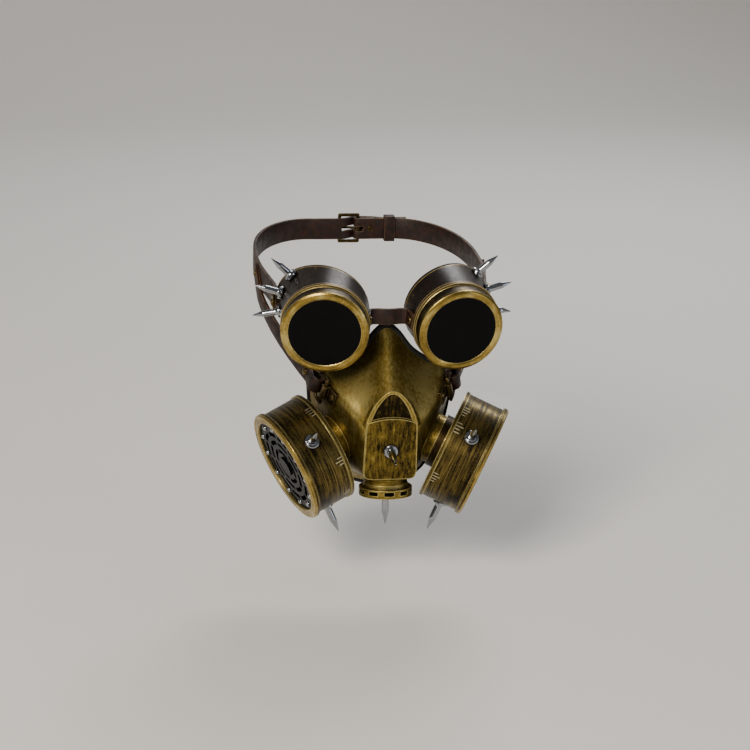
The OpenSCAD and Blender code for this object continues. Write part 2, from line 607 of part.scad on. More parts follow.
lug_rivets = [-3.6, 3.6];
lug_under = strap_t + strap_gap + 0.4;
rear_z = head_z + strap_rise;
module strap_holes() {
    multmatrix(lens_m) cup_place(lug_at) for (x = lug_rivets) translate([x, 0, 0]) rivet_hole();
    join_place() rivet_hole();
}
join_m = frame(side_pts[cheek_join], side_outs[cheek_join]);
module join_place() multmatrix(join_m) children();
module left_strap_line() {
    fold = [for (q = [0:6]) let (a = -90 - q * 30) [bar_x + loop_r * cos(a), bar_y + loop_r * sin(a), rear_z]];
    tail = [for (p = [[bar_x + 2.8, bar_y + loop_r - 0.3], [bar_x + 5, bar_y + loop_r - 1.7], [bar_x + 6.6, head_y + lap],
                      [19.2, head_y + lap]]) [p.x, p.y, rear_z]];
    pts = concat(side_pts, [for (x = [19, 13, 9]) [x, head_y, rear_z]], fold, tail);
    outs = concat(side_outs, [for (x = [19, 13, 9]) [0, 1, 0]],
        [for (p = fold) unit([bar_x, bar_y, rear_z] - p)],
        [[0.2, -1, 0], [0.4, -1, 0], [0, -1, 0], [0, -1, 0]]);
    band(pts, outs, strap_w, strap_t);
}
module left_head_strap() {
    color(leather) difference() {
        left_strap_line();
        strap_holes();
        translate([bar_x - 4, bar_y - 4, rear_z - 1.8]) cube([8, 8, 3.6]);
        translate([rear_rivet_x, head_y, rear_z]) rotate([90, 0, 0]) cylinder(r = rivet_r + thin, h = 12, center = true, $fn = 24);
    }
}
module right_head_strap() {
    top = bar_y + loop_r + lap + 0.2;
    line = [[14, head_y], [8, head_y - 0.1], [5.5, head_y], [3, head_y + 1.1], [0, head_y + 3.4], [-4, top - 0.9], [-7, top],
            [-10.5, top], [-15, top - 0.8], [-19.5, top - 1.7],
            [-24, top - 3.9], [-27, head_y + lap + 0.4], [-44, head_y + lap + 0.4]];
    pts = concat(side_pts, [for (p = line) [p.x, p.y, rear_z]]);
    outs = [for (i = [0:len(pts) - 1]) unit(cross(along(pts, i), [0, 0, 1]))];
    color(leather) sided(-1) difference() {
        band(pts, outs, strap_w, strap_t);
        strap_holes();
        translate([-6, head_y - 2, rear_z - 1.8]) cube([11.5, 10, 3.6]);
        for (i = [0:2]) translate([-24 - 7 * i, head_y, rear_z]) rotate([90, 0, 0]) cylinder(r = 1.6, h = 16, center = true, $fn = 24);
    }
}
module strap_buckle() {
    h = strap_w / 2 + 0.9 + bar_r;
    color(bronze) for (x = [-bar_x, bar_x]) {
        translate([x, bar_y, rear_z]) cylinder(r = bar_r, h = 2 * h, center = true);
        for (s = [1, -1]) {
            translate([x, bar_y, rear_z + s * h]) sphere(r = bar_r);
            if (x > 0) translate([0, bar_y, rear_z + s * h]) rotate([0, 90, 0]) cylinder(r = bar_r, h = 2 * bar_x, center = true);
        }
    }
}
prong_r = 1;
prong_rise = atan2(bar_r + prong_r + 0.05 - 0.6, 2 * bar_x);
module buckle_prong() {
    color(bronze) translate([bar_x, bar_y, rear_z]) {
        difference() {
            cylinder(r = bar_r + 1, h = 2.6, center = true);
            cylinder(r = bar_r + fit, h = 4, center = true);
        }
        translate([-bar_r - 0.5, 0.6 + (bar_r + 0.5) * tan(prong_rise), 0]) rotate([0, -90, -prong_rise])
            cylinder(r = prong_r, h = 2 * bar_x + 0.4);
    }
}
keeper_x = 31;
module strap_keeper() {
    hold = 2 * strap_t + 0.5;
    color(leather) translate([keeper_x, head_y - strap_t / 2 + hold / 2, rear_z]) difference() {
        cube([8, hold + 3, strap_w + 3.4], center = true);
        cube([10, hold + 0.2, strap_w + 0.6], center = true);
    }
}

// ---- cheek straps, on the left side ----
cheek_fold = wire_r + 1.5 + strap_t / 2;
fold_x = tab_bar + 10.4;
cheek_join_up = 6;   // how far the strap runs on past its rivet
fold_rivet_x = fold_x + 13;
module cheek_strap() {
    near = [for (p = [[fold_x + 17, -1.06], [fold_x + 8.5, -1.06], [fold_x + 4.5, -2.8], [fold_x + 1.5, -cheek_fold]]) [p.x, 0, p.y + bar_up]];
    bend = [for (q = [0:6]) let (a = -90 - q * 30) [fold_x + cheek_fold * cos(a), 0, bar_up + cheek_fold * sin(a)]];
    far = [for (p = [[fold_x + 1.5, cheek_fold], [fold_x + 4.5, 2.8], [fold_x + 8.5, 1.06], [fold_x + 17, 1.06]]) [p.x, 0, p.y + bar_up]];
    start = [for (p = concat(near, bend, far)) local(tab_m, p)];
    face = turned(tab_m, [0, 0, 1]);
    hub = local(tab_m, [fold_x, 0, bar_up]);
    join = local(join_m, [0, 0, lap]);
    join_out = side_outs[cheek_join];
    leave = start[len(start) - 1];
    heading = turned(tab_m, [1, 0, 0]);
    run = join - leave;
    rise = unit(join - (leave + heading * 12));
    flat = unit(rise - join_out * (rise * join_out));
    meet = join - flat * (strap_w / 2 + 5);
    way = [for (t = [0.14, 0.28, 0.42, 0.56, 0.7, 0.84])
        let (a = leave + heading * norm(run) * 0.5, b = meet - flat * norm(run) * 0.14)
        leave * pow(1 - t, 3) + a * 3 * t * pow(1 - t, 2) + b * 3 * t * t * (1 - t) + meet * pow(t, 3)];
    end = [meet, join + flat * cheek_join_up];
    pts = concat(start, way, end);
    outs = concat([for (i = [0:3]) -face], [for (i = [4:10]) unit(start[i] - hub)], [for (i = [11:14]) face],
        [for (t = [0.14, 0.28, 0.42, 0.56, 0.7, 0.84]) unit(mix(face, join_out, t))], [join_out, join_out]);
    color(leather) difference() {
        band(pts, outs, cheek_strap_w, strap_t);
        join_place() rivet_hole();
        multmatrix(tab_m) translate([fold_rivet_x, 0, bar_up]) rivet_hole();
    }
}
lug_plate = 1.2;
module strap_lug() {
    color(bronze) multmatrix(lens_m) cup_place(lug_at) difference() {
        translate([-7, -3.4, lug_under]) cube([14, 6.8, lug_plate]);
        for (x = lug_rivets) translate([x, 0, 0]) rivet_hole();
    }
}
module strap_rivets() {
    color(bronze) {
        multmatrix(lens_m) cup_place(lug_at) for (x = lug_rivets) translate([x, 0, 0])
            rivet(lug_under + lug_plate + thin, -cup_wall - 0.9);
        join_place() rivet(lap + strap_t / 2 + thin, -strap_t / 2 - thin);
        multmatrix(tab_m) translate([fold_rivet_x, 0, bar_up]) rivet(2.1, -2.1);
        multmatrix(tab_m) translate([-tab_bar - 1, 0, 0]) rivet(1.5 + thin, -shell_wall - 1.1);
    }
}
module left_strap_rivets() {
    strap_rivets();
    color(bronze) translate([rear_rivet_x, head_y, rear_z]) rotate([-90, 0, 0])
        rivet(lap + strap_t / 2 + thin, -strap_t / 2 - thin);
}

mask_shell();
face_seal();
snout_spike();
shell_screws();
valve_barrel();
valve_cover();
valve_flap();
valve_spike();
nose_bridge();
bridge_rivets();
left_head_strap();
right_head_strap();
strap_buckle();
buckle_prong();
strap_keeper();
sided(1) neck();  // left_neck
sided(-1) neck();  // right_neck
sided(1) neck_nut();  // left_neck_nut
sided(-1) neck_nut();  // right_neck_nut
sided(1) drum();  // left_drum
sided(-1) drum();  // right_drum
sided(1) filter_pad();  // left_filter_pad
sided(-1) filter_pad();  // right_filter_pad
sided(1) drum_spikes();  // left_drum_spikes
sided(-1) drum_spikes();  // right_drum_spikes
sided(1) drum_screws();  // left_drum_screws
sided(-1) drum_screws();  // right_drum_screws
sided(1) eyecup();  // left_eyecup
sided(-1) eyecup();  // right_eyecup
sided(1) eye_gasket();  // left_eye_gasket
sided(-1) eye_gasket();  // right_eye_gasket
sided(1) eyecup_spikes();  // left_eyecup_spikes
sided(-1) eyecup_spikes();  // right_eyecup_spikes
sided(1) eyecup_screws();  // left_eyecup_screws
sided(-1) eyecup_screws();  // right_eyecup_screws
sided(1) eyecup_pad();  // left_eyecup_pad
sided(-1) eyecup_pad();  // right_eyecup_pad
sided(1) lens();  // left_lens
sided(-1) lens();  // right_lens
sided(1) bezel();  // left_bezel
sided(-1) bezel();  // right_bezel
sided(1) grille();  // left_grille
sided(-1) grille();  // right_grille
sided(1) grille_studs();  // left_grille_studs
sided(-1) grille_studs();  // right_grille_studs
sided(1) rim_ring();  // left_rim_ring
sided(-1) rim_ring();  // right_rim_ring
sided(1) ring_tab();  // left_ring_tab
sided(-1) ring_tab();  // right_ring_tab
sided(1) d_ring();  // left_d_ring
sided(-1) d_ring();  // right_d_ring
sided(1) cheek_strap();  // left_cheek_strap
sided(-1) cheek_strap();  // right_cheek_strap
sided(1) strap_lug();  // left_strap_lug
sided(-1) strap_lug();  // right_strap_lug
left_strap_rivets();
sided(-1) strap_rivets();  // right_strap_rivets
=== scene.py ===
import json
import math
import bmesh
import bpy
from mathutils import Matrix, Vector


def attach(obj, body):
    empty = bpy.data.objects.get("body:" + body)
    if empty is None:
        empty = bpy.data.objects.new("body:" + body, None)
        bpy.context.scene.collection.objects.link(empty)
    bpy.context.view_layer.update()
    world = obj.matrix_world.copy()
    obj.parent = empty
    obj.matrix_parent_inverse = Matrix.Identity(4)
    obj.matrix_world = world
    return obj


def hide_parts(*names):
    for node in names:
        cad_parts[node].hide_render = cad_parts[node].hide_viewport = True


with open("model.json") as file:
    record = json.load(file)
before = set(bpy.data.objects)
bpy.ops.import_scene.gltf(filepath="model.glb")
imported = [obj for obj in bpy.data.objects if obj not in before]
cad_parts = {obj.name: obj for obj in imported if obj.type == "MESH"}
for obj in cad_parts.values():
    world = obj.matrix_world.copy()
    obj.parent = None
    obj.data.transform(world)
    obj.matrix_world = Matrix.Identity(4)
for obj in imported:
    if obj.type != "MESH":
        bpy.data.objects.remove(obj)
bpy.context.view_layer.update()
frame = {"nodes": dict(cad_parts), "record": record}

bl_info = {
    "name": "Plague Doctor Mask",
    "version": (1, 0, 0),
    "blender": (4, 5, 0),
    "location": "3D View > Sidebar > Mask",
    "description": "Finishes the half mask, the goggles, the canisters and the straps",
    "category": "Object",
}

MM = 0.001
# The dark end of each finish's ramp is both the dark wash and painted shade
WASH_AND_SHADE_SPREAD = 0.12   # how far below a finish's middle level the dark wash is at full strength
SIDES = {"left": 1, "right": -1}
BODY = {n: b for b, nodes in frame["record"]["behaviour"]["bodies"].items() for n in nodes}
SLOT = {s["node"]: s["material_slot"] for s in frame["record"]["subparts"]}


# ---- places: the same frames that the mask was drawn in, in millimetres ----
def placed(origin, z, up=(0, 0, 1)):
    c = Vector(z).normalized()
    a = Vector(up).cross(c).normalized()
    b = c.cross(a)
    return Matrix(((a.x, b.x, c.x, origin[0]), (a.y, b.y, c.y, origin[1]),
                   (a.z, b.z, c.z, origin[2]), (0, 0, 0, 1)))


def heading(side, down):
    s, d = math.radians(side), math.radians(down)
    return (math.cos(d) * math.cos(s), -math.cos(d) * math.sin(s), -math.sin(d))


MIRROR = Matrix.Scale(-1, 4, (1, 0, 0))
CANISTER = placed((70, -12, -96), heading(19, 22))
LENS = placed((46.5, -30, 5), (math.cos(math.radians(10)) * math.sin(math.radians(9)),
                               -math.cos(math.radians(10)) * math.cos(math.radians(9)),
                               -math.sin(math.radians(10))))
VALVE = placed((0, -15, -101.5), (0, -math.sin(math.radians(8)), -math.cos(math.radians(8))), (0, 1, 0))
FRONT = placed((0, -38, -34), (0, -math.cos(math.radians(5.3)), -math.sin(math.radians(5.3))))


def sided(matrix, side):
    return matrix if SIDES[side] > 0 else MIRROR @ matrix


# ---- colours and nodes ----
def paint(code):
    """An sRGB hex colour as linear red, green, blue and alpha."""
    parts = [int(code[i:i + 2], 16) / 255 for i in (1, 3, 5)]
    return tuple(c / 12.92 if c <= 0.04045 else ((c + 0.055) / 1.055) ** 2.4 for c in parts) + (1.0,)


def halfway(one, other):
    return tuple((a + b) / 2 for a, b in zip(paint(one), paint(other)))


def add(tree, kind, inputs=None, stops=(), **settings):
    """Adds a node with its settings, a ramp's stops if it has them, then its values and links."""
    made = tree.nodes.new(kind)
    for key, value in settings.items():
        setattr(made, key, value)
    if stops:
        row = made.color_ramp.elements
        while len(row) > 1:
            row.remove(row[0])
        row[0].position, row[0].color = stops[0]
        for place, colour in stops[1:]:
            row.new(place).color = colour
    for key, value in (inputs or {}).items():
        if isinstance(value, bpy.types.NodeSocket):
            tree.links.new(value, made.inputs[key])
        else:
            made.inputs[key].default_value = value
    return made


def begin(name):
    material = bpy.data.materials.new(name)
    material.use_nodes = True
    tree = material.node_tree
    tree.nodes.clear()
    shader = add(tree, "ShaderNodeBsdfPrincipled")
    out = add(tree, "ShaderNodeOutputMaterial", {"Surface": shader.outputs[0]})
    out.location = (400, 0)
    return material, tree, shader


def worn_edge(tree, radius, low, high):
    """A mask of the corners that hands and cloth have rubbed, radius in millimetres."""
    rounded = add(tree, "ShaderNodeBevel", {"Radius": radius * MM}, samples=6)
    flat = add(tree, "ShaderNodeNewGeometry")
    same = add(tree, "ShaderNodeVectorMath", {0: rounded.outputs[0], 1: flat.outputs["Normal"]},
               operation="DOT_PRODUCT")
    return add(tree, "ShaderNodeMapRange", {0: same.outputs["Value"], 1: 1 - low, 2: 1 - high,
                                            3: 0.0, 4: 1.0}).outputs[0]


def turned_place(tree, grain, across, along):
    """Lathe lines: noise places that run round a turned piece's axis, scales per millimetre."""
    flat = add(tree, "ShaderNodeVectorMath", {0: grain, 1: (1, 1, 0)}, operation="MULTIPLY")
    way = add(tree, "ShaderNodeVectorMath", {0: flat.outputs[0]}, operation="NORMALIZE")
    radius = add(tree, "ShaderNodeVectorMath", {0: flat.outputs[0]}, operation="LENGTH")
    height = add(tree, "ShaderNodeSeparateXYZ", {0: grain})
    total = add(tree, "ShaderNodeMath", {0: radius.outputs["Value"], 1: height.outputs[2]}, operation="ADD")
    deep = add(tree, "ShaderNodeMath", {0: total.outputs[0], 1: across}, operation="MULTIPLY")
    lift = add(tree, "ShaderNodeCombineXYZ", {2: deep.outputs[0]})
    round_ = add(tree, "ShaderNodeVectorMath", {0: way.outputs[0], "Scale": along}, operation="SCALE")
    return add(tree, "ShaderNodeVectorMath", {0: round_.outputs[0], 1: lift.outputs[0]},
               operation="ADD").outputs[0]


def antique_metal(name, metal, wash_and_shade, rubbed, turned=False, strokes=(0.9, 0.9, 0.16), rough=(0.3, 0.5),
                  dark=0.5, edge=1.0, metallic=0.9, lines=0.55, bump=0.25,
                  front=None, sharp=(0.015, 0.16), stored=False, shine_level=0.5):
    """Metallic paint over moulded plastic: a dark wash left in the brush strokes and hollows, with painted
    shade darkening the hollows too, lighter on the high places, and bare bright metal colour along the
    corners."""
    material, tree, shader = begin(name)
    grain = add(tree, "ShaderNodeAttribute", attribute_name="grain").outputs["Vector"]
    # Strokes are 1 to 2 mm apart, coarser than the real 0.3 mm ones so that they show
    if turned:
        place = turned_place(tree, grain, 1.3, 1.6)
    else:
        place = add(tree, "ShaderNodeVectorMath", {0: grain, 1: strokes}, operation="MULTIPLY").outputs[0]
    stroke = add(tree, "ShaderNodeTexNoise", {"Vector": place, "Scale": 1.0, "Detail": 5.0,
                                              "Roughness": 0.62}).outputs[0]
    cloud = add(tree, "ShaderNodeTexNoise", {"Vector": grain, "Scale": 0.055, "Detail": 4.0,
                                             "Roughness": 0.6}).outputs[0]
    speck = add(tree, "ShaderNodeTexNoise", {"Vector": grain, "Scale": 0.7, "Detail": 3.0,
                                             "Roughness": 0.7}).outputs[0]
    mixed = add(tree, "ShaderNodeMath", {0: stroke, 1: lines}, operation="MULTIPLY")
    mixed = add(tree, "ShaderNodeMath", {0: cloud, 1: 1 - lines, 2: mixed.outputs[0]},
                operation="MULTIPLY_ADD")
    mixed = add(tree, "ShaderNodeMath", {0: speck, 1: 0.22, 2: mixed.outputs[0]}, operation="MULTIPLY_ADD")
    # Hollows keep the wash, and ambient occlusion paints shade into them as well
    hollow = add(tree, "ShaderNodeAmbientOcclusion", {"Distance": 9 * MM}, samples=6)
    hollow_shade = add(tree, "ShaderNodeMapRange", {0: hollow.outputs["AO"], 1: 0.35, 2: 0.95, 3: 0.16, 4: 0.0})
    level = add(tree, "ShaderNodeMath", {0: mixed.outputs[0], 1: hollow_shade.outputs[0]}, operation="SUBTRACT")
    if stored:
        # How much wash, painted shade and painted highlight each part of the piece gets, stored with its
        # points
        stored_wash_and_light = add(tree, "ShaderNodeAttribute", attribute_name="wash").outputs["Fac"]
        level = add(tree, "ShaderNodeMath", {0: level.outputs[0], 1: stored_wash_and_light}, operation="SUBTRACT")
    if front is not None:
        # The sides behind the front face are drawn darker, their level lowered by depth
        height = add(tree, "ShaderNodeSeparateXYZ", {0: grain})
        behind = add(tree, "ShaderNodeMapRange", {0: height.outputs[2], 1: front - 2.5, 2: front,
                                                  3: 0.22, 4: 0.0})
        level = add(tree, "ShaderNodeMath", {0: level.outputs[0], 1: behind.outputs[0]}, operation="SUBTRACT")
    # The bottom stops are the wash and painted shade; the top stop, half rubbed colour, is also the painted
    # highlight where the level is raised
    colour = add(tree, "ShaderNodeValToRGB", {0: level.outputs[0]}, stops=[
        (dark - WASH_AND_SHADE_SPREAD, paint(wash_and_shade)), (dark, halfway(wash_and_shade, metal)),
        (dark + 0.1, paint(metal)), (dark + 0.24, halfway(rubbed, metal))]).outputs[0]
    worn = worn_edge(tree, 1.1 * edge, *sharp)
    ragged = add(tree, "ShaderNodeMapRange", {0: speck, 1: 0.3, 2: 0.6, 3: 0.55, 4: 1.0})
    worn = add(tree, "ShaderNodeMath", {0: worn, 1: ragged.outputs[0]}, operation="MULTIPLY")
    blend = add(tree, "ShaderNodeMix", {0: worn.outputs[0], 6: colour, 7: paint(rubbed)},
                data_type="RGBA")
    shine = add(tree, "ShaderNodeMapRange", {0: level.outputs[0], 1: dark - WASH_AND_SHADE_SPREAD, 2: dark + 0.2,
                                             3: rough[1], 4: rough[0]})
    soft = add(tree, "ShaderNodeBevel", {"Radius": 0.35 * MM}, samples=4)
    raised = add(tree, "ShaderNodeBump", {"Strength": bump, "Distance": 0.12 * MM, "Height": stroke,
                                          "Normal": soft.outputs[0]})
    tree.links.new(blend.outputs[2], shader.inputs["Base Color"])
    tree.links.new(shine.outputs[0], shader.inputs["Roughness"])
    tree.links.new(raised.outputs[0], shader.inputs["Normal"])
    shader.inputs["Metallic"].default_value = metallic
    shader.inputs["Specular IOR Level"].default_value = shine_level
    return material


def polished_metal(name, metal, rough):
    """Plated steel: even and mirror-bright, with fine wipe marks and a trace of haze."""
    material, tree, shader = begin(name)
    grain = add(tree, "ShaderNodeAttribute", attribute_name="grain").outputs["Vector"]
    haze = add(tree, "ShaderNodeTexNoise", {"Vector": grain, "Scale": 0.35, "Detail": 4.0}).outputs[0]
    shine = add(tree, "ShaderNodeMapRange", {0: haze, 1: 0.3, 2: 0.75, 3: rough, 4: rough * 2.4})
    tint = add(tree, "ShaderNodeValToRGB", {0: haze},
               stops=[(0.35, paint(metal)), (0.8, paint("#8F9193"))]).outputs[0]
    marks = add(tree, "ShaderNodeTexNoise", {"Vector": grain, "Scale": 3.0, "Detail": 3.0}).outputs[0]
    soft = add(tree, "ShaderNodeBevel", {"Radius": 0.2 * MM}, samples=4)
    raised = add(tree, "ShaderNodeBump", {"Strength": 0.05, "Distance": 0.05 * MM, "Height": marks,
                                          "Normal": soft.outputs[0]})
    tree.links.new(tint, shader.inputs["Base Color"])
    tree.links.new(shine.outputs[0], shader.inputs["Roughness"])
    tree.links.new(raised.outputs[0], shader.inputs["Normal"])
    shader.inputs["Metallic"].default_value = 1.0
    return material


def tanned_leather(name, face, deep, cut, rough, cells=0.85, relief=0.5):
    """Tanned leather: pebbled grain of about 1.2 mm, darker between the pebbles, with paler cut
    edges that have been rubbed."""
    material, tree, shader = begin(name)
    grain = add(tree, "ShaderNodeAttribute", attribute_name="grain").outputs["Vector"]
    pebble = add(tree, "ShaderNodeTexVoronoi", {"Vector": grain, "Scale": cells}, feature="SMOOTH_F1")
    crease = add(tree, "ShaderNodeTexNoise", {"Vector": grain, "Scale": 0.18, "Detail": 6.0,
                                              "Roughness": 0.65}).outputs[0]
    tone = add(tree, "ShaderNodeValToRGB", {0: crease},
               stops=[(0.35, paint(deep)), (0.62, paint(face))]).outputs[0]
    lift = add(tree, "ShaderNodeMapRange", {0: pebble.outputs["Distance"], 1: 0.0, 2: 0.7, 3: 1.0, 4: 0.55})
    shade = add(tree, "ShaderNodeMix", {0: 1.0, 6: tone, 7: lift.outputs[0]}, data_type="RGBA",
                blend_type="MULTIPLY")
    worn = worn_edge(tree, 0.9, 0.03, 0.2)
    ragged = add(tree, "ShaderNodeMapRange", {0: crease, 1: 0.35, 2: 0.6, 3: 0.35, 4: 1.0})
    worn = add(tree, "ShaderNodeMath", {0: worn, 1: ragged.outputs[0]}, operation="MULTIPLY")
    blend = add(tree, "ShaderNodeMix", {0: worn.outputs[0], 6: shade.outputs[2], 7: paint(cut)},
                data_type="RGBA")
    height = add(tree, "ShaderNodeMath", {0: pebble.outputs["Distance"], 1: -1.0}, operation="MULTIPLY")
    height = add(tree, "ShaderNodeMath", {0: crease, 1: 1.2, 2: height.outputs[0]}, operation="MULTIPLY_ADD")
    raised = add(tree, "ShaderNodeBump", {"Strength": relief, "Distance": 0.25 * MM,
                                          "Height": height.outputs[0]})
    shine = add(tree, "ShaderNodeMapRange", {0: crease, 1: 0.3, 2: 0.7, 3: rough + 0.1, 4: rough - 0.08})
    tree.links.new(blend.outputs[2], shader.inputs["Base Color"])
    tree.links.new(shine.outputs[0], shader.inputs["Roughness"])
    tree.links.new(raised.outputs[0], shader.inputs["Normal"])
    shader.inputs["Specular IOR Level"].default_value = 0.35
    return material


def moulded(name, tone, pale, rough, spread, relief=0.15, size=1.2, shine_level=0.5):
    """Moulded rubber, plastic or felt: one deep tone with dust in its texture."""
    material, tree, shader = begin(name)
    grain = add(tree, "ShaderNodeAttribute", attribute_name="grain").outputs["Vector"]
    fine = add(tree, "ShaderNodeTexNoise", {"Vector": grain, "Scale": size, "Detail": 6.0,
                                            "Roughness": 0.7}).outputs[0]
    wide = add(tree, "ShaderNodeTexNoise", {"Vector": grain, "Scale": 0.06, "Detail": 3.0}).outputs[0]
    tint = add(tree, "ShaderNodeValToRGB", {0: wide},
               stops=[(0.35, paint(tone)), (0.75, paint(pale))]).outputs[0]
    shine = add(tree, "ShaderNodeMapRange", {0: wide, 1: 0.3, 2: 0.7, 3: rough, 4: rough + spread})
    raised = add(tree, "ShaderNodeBump", {"Strength": relief, "Distance": 0.1 * MM, "Height": fine})
    tree.links.new(tint, shader.inputs["Base Color"])
    tree.links.new(shine.outputs[0], shader.inputs["Roughness"])
    tree.links.new(raised.outputs[0], shader.inputs["Normal"])
    shader.inputs["Specular IOR Level"].default_value = shine_level
    return material


FINISHES = {}


def finish(name):
    return FINISHES[name]


def mix_finishes():
    look = bpy.context.scene.mask_look
    metal, wash_and_shade, rubbed = look.metal, look.wash_and_shade, look.rubbed
    FINISHES.update({
        # Brass paint on moulded plastic: dark strokes down the face, a painted highlight on the cheekbones
        # and painted shade low on the sides
        "antique_brass_shell": antique_metal("antique_brass_shell", metal, wash_and_shade, rubbed,
                                             strokes=(0.6, 0.5, 0.13), dark=0.49, lines=0.55, edge=1.2,
                                             sharp=(0.008, 0.09), stored=True, rough=(0.32, 0.48)),
        # The same paint on small turned pieces: faint rings and bright corners
        "antique_brass": antique_metal("antique_brass", metal, wash_and_shade, rubbed, turned=True, dark=0.55,
                                       sharp=(0.01, 0.1)),
        # Scratch-brushed brass paint: dark lines round the canister between bright ones
        "brushed_brass": antique_metal("brushed_brass", "#7E6B36", "#120C05", rubbed, turned=True,
                                       dark=0.645, lines=0.74, rough=(0.2, 0.4), bump=0.5,
                                       sharp=(0.01, 0.1)),
        # Brass rings, bright on the front and darker brown on the sides behind it
        "rubbed_brass": antique_metal("rubbed_brass", "#937A36", "#281C0B", "#E2CF88", turned=True,
                                      dark=0.5, rough=(0.22, 0.42), lines=0.4, front=-0.6,
                                      sharp=(0.01, 0.1)),
        # Old bronze: dull brown, worn a little at the corners
        "aged_bronze": antique_metal("aged_bronze", "#33260F", "#0E0A05", "#7A6638", turned=True, dark=0.5),
        # Nearly black bronze paint with thin pale rubbed corners
        "dark_bronze": antique_metal("dark_bronze", "#221611", "#0B0705", "#C4A868", dark=0.6,
                                     strokes=(0.4, 0.4, 0.4), rough=(0.28, 0.42), metallic=0.35,
                                     edge=1.4, sharp=(0.006, 0.07), shine_level=0.22),
        # Cast buckles and rivets: brown metal, mottled, brighter where the strap rubs
        "aged_hardware": antique_metal("aged_hardware", "#463820", "#130E08", "#94804E", dark=0.48,
                                       strokes=(0.6, 0.6, 0.6), rough=(0.28, 0.45)),
        # Plated steel: a mirror with a trace of haze
        "chromed_steel": polished_metal("chromed_steel", "#9DA0A5", 0.1),
        # Vegetable-tanned strap leather: dark brown and pebbled, tan at the cut edges
        "brown_leather": tanned_leather("brown_leather", "#33190F", "#140A06", "#A07C52", 0.52),
        # Soft black garment leather over the pads: finer pebbles and a low sheen
        "padded_leather": tanned_leather("padded_leather", "#16100E", "#080606", "#30241E", 0.55,
                                         cells=1.1),
        # Moulded rubber: matt black
        "black_rubber": moulded("black_rubber", "#0C0C0D", "#151516", 0.55, 0.15, shine_level=0.35),
        # Smoked acrylic: black and smooth, with hardly a reflection
        "smoked_lens": moulded("smoked_lens", "#030304", "#060607", 0.05, 0.04, relief=0.01,
                               shine_level=0.08),
        # Gloss black plastic
        "black_grille": moulded("black_grille", "#050506", "#0A0A0D", 0.16, 0.12, relief=0.04,
                                shine_level=0.03),
        # Pressed felt: grey-black, with a fuzzy surface and no shine
        "filter_felt": moulded("filter_felt", "#1A1916", "#2A2823", 0.9, 0.05, relief=0.9, size=2.2),
        # Marks scribed through the paint to bright metal
        "scribed_metal": polished_metal("scribed_metal", "#D8C99A", 0.3),
    })


# ---- meshes ----
def new_object(name, mesh):
    made = bpy.data.objects.new(name, mesh)
    bpy.context.scene.collection.objects.link(made)
    return made


def from_loops(name, loops, cap=True):
    """A skin over loops of points, with the ends closed by strips across, as the shell is drawn."""
    n, m = len(loops[0]), len(loops)
    points = [p for loop in loops for p in loop]
    faces = [(j * n + i, j * n + (i + 1) % n, (j + 1) * n + (i + 1) % n, (j + 1) * n + i)
             for j in range(m - 1) for i in range(n)]
    if cap:
        for at in (0, (m - 1) * n):
            faces.append((at, at + 1, at + n - 1))
            faces += [(at + i, at + i + 1, at + n - i - 1, at + n - i) for i in range(1, n // 2 - 1)]
            faces.append((at + n // 2 - 1, at + n // 2, at + n // 2 + 1))
    return closed(name, points, faces)


def ring_of_loops(name, loops):
    n, m = len(loops[0]), len(loops)
    faces = [(j * n + i, j * n + (i + 1) % n, ((j + 1) % m) * n + (i + 1) % n, ((j + 1) % m) * n + i)
             for j in range(m) for i in range(n)]
    return closed(name, [p for loop in loops for p in loop], faces)


def closed(name, points, faces):
    """A closed mesh, points in millimetres, with its faces turned outwards."""
    mesh = bpy.data.meshes.new(name)
    mesh.from_pydata([tuple(c * MM for c in p) for p in points], [], faces)
    work = bmesh.new()
    work.from_mesh(mesh)
    bmesh.ops.remove_doubles(work, verts=work.verts, dist=1e-6)
    bmesh.ops.recalc_face_normals(work, faces=work.faces)
    if work.calc_volume(signed=True) < 0:
        bmesh.ops.reverse_faces(work, faces=work.faces)
    work.to_mesh(mesh)
    work.free()
    return new_object(name, mesh)


def prism(name, outline, low, high, place):
    n = len(outline)
    points = [place @ Vector((x, y, z)) for z in (low, high) for x, y in outline]
    faces = [tuple(range(n)), tuple(range(2 * n - 1, n - 1, -1))]
    faces += [(i, (i + 1) % n, n + (i + 1) % n, n + i) for i in range(n)]
    return closed(name, points, faces)


def rod(name, radius, low, high, place, sides=96):
    turn = 2 * math.pi / sides
    return prism(name, [(radius * math.cos(i * turn), radius * math.sin(i * turn)) for i in range(sides)],
                 low, high, place)


def baked(obj):
    """The object's modifiers put into its mesh, and taken off."""
    graph = bpy.context.evaluated_depsgraph_get()
    graph.update()
    mesh = bpy.data.meshes.new_from_object(obj.evaluated_get(graph))
    obj.modifiers.clear()
    old, obj.data = obj.data, mesh
    bpy.data.meshes.remove(old)
    return obj


def carve(base, tools):
    """Joins or cuts each tool in turn, then throws the tools away."""
    for tool, way in tools:
        step = base.modifiers.new(tool.name, "BOOLEAN")
        step.operation, step.solver, step.object = way, "MANIFOLD", tool
    baked(base)
    for tool, _ in tools:
        bpy.data.objects.remove(tool)
    if not base.data.polygons:
        raise RuntimeError(base.name + " came out empty")
    return base


def smoothed(obj, angle=32):
    """Smooth shading with real corners kept sharp."""
    work = bmesh.new()
    work.from_mesh(obj.data)
    limit = math.radians(angle)
    for face in work.faces:
        face.smooth = True
    for edge in work.edges:
        edge.smooth = len(edge.link_faces) == 2 and edge.calc_face_angle(0) < limit
    work.to_mesh(obj.data)
    work.free()
    return obj


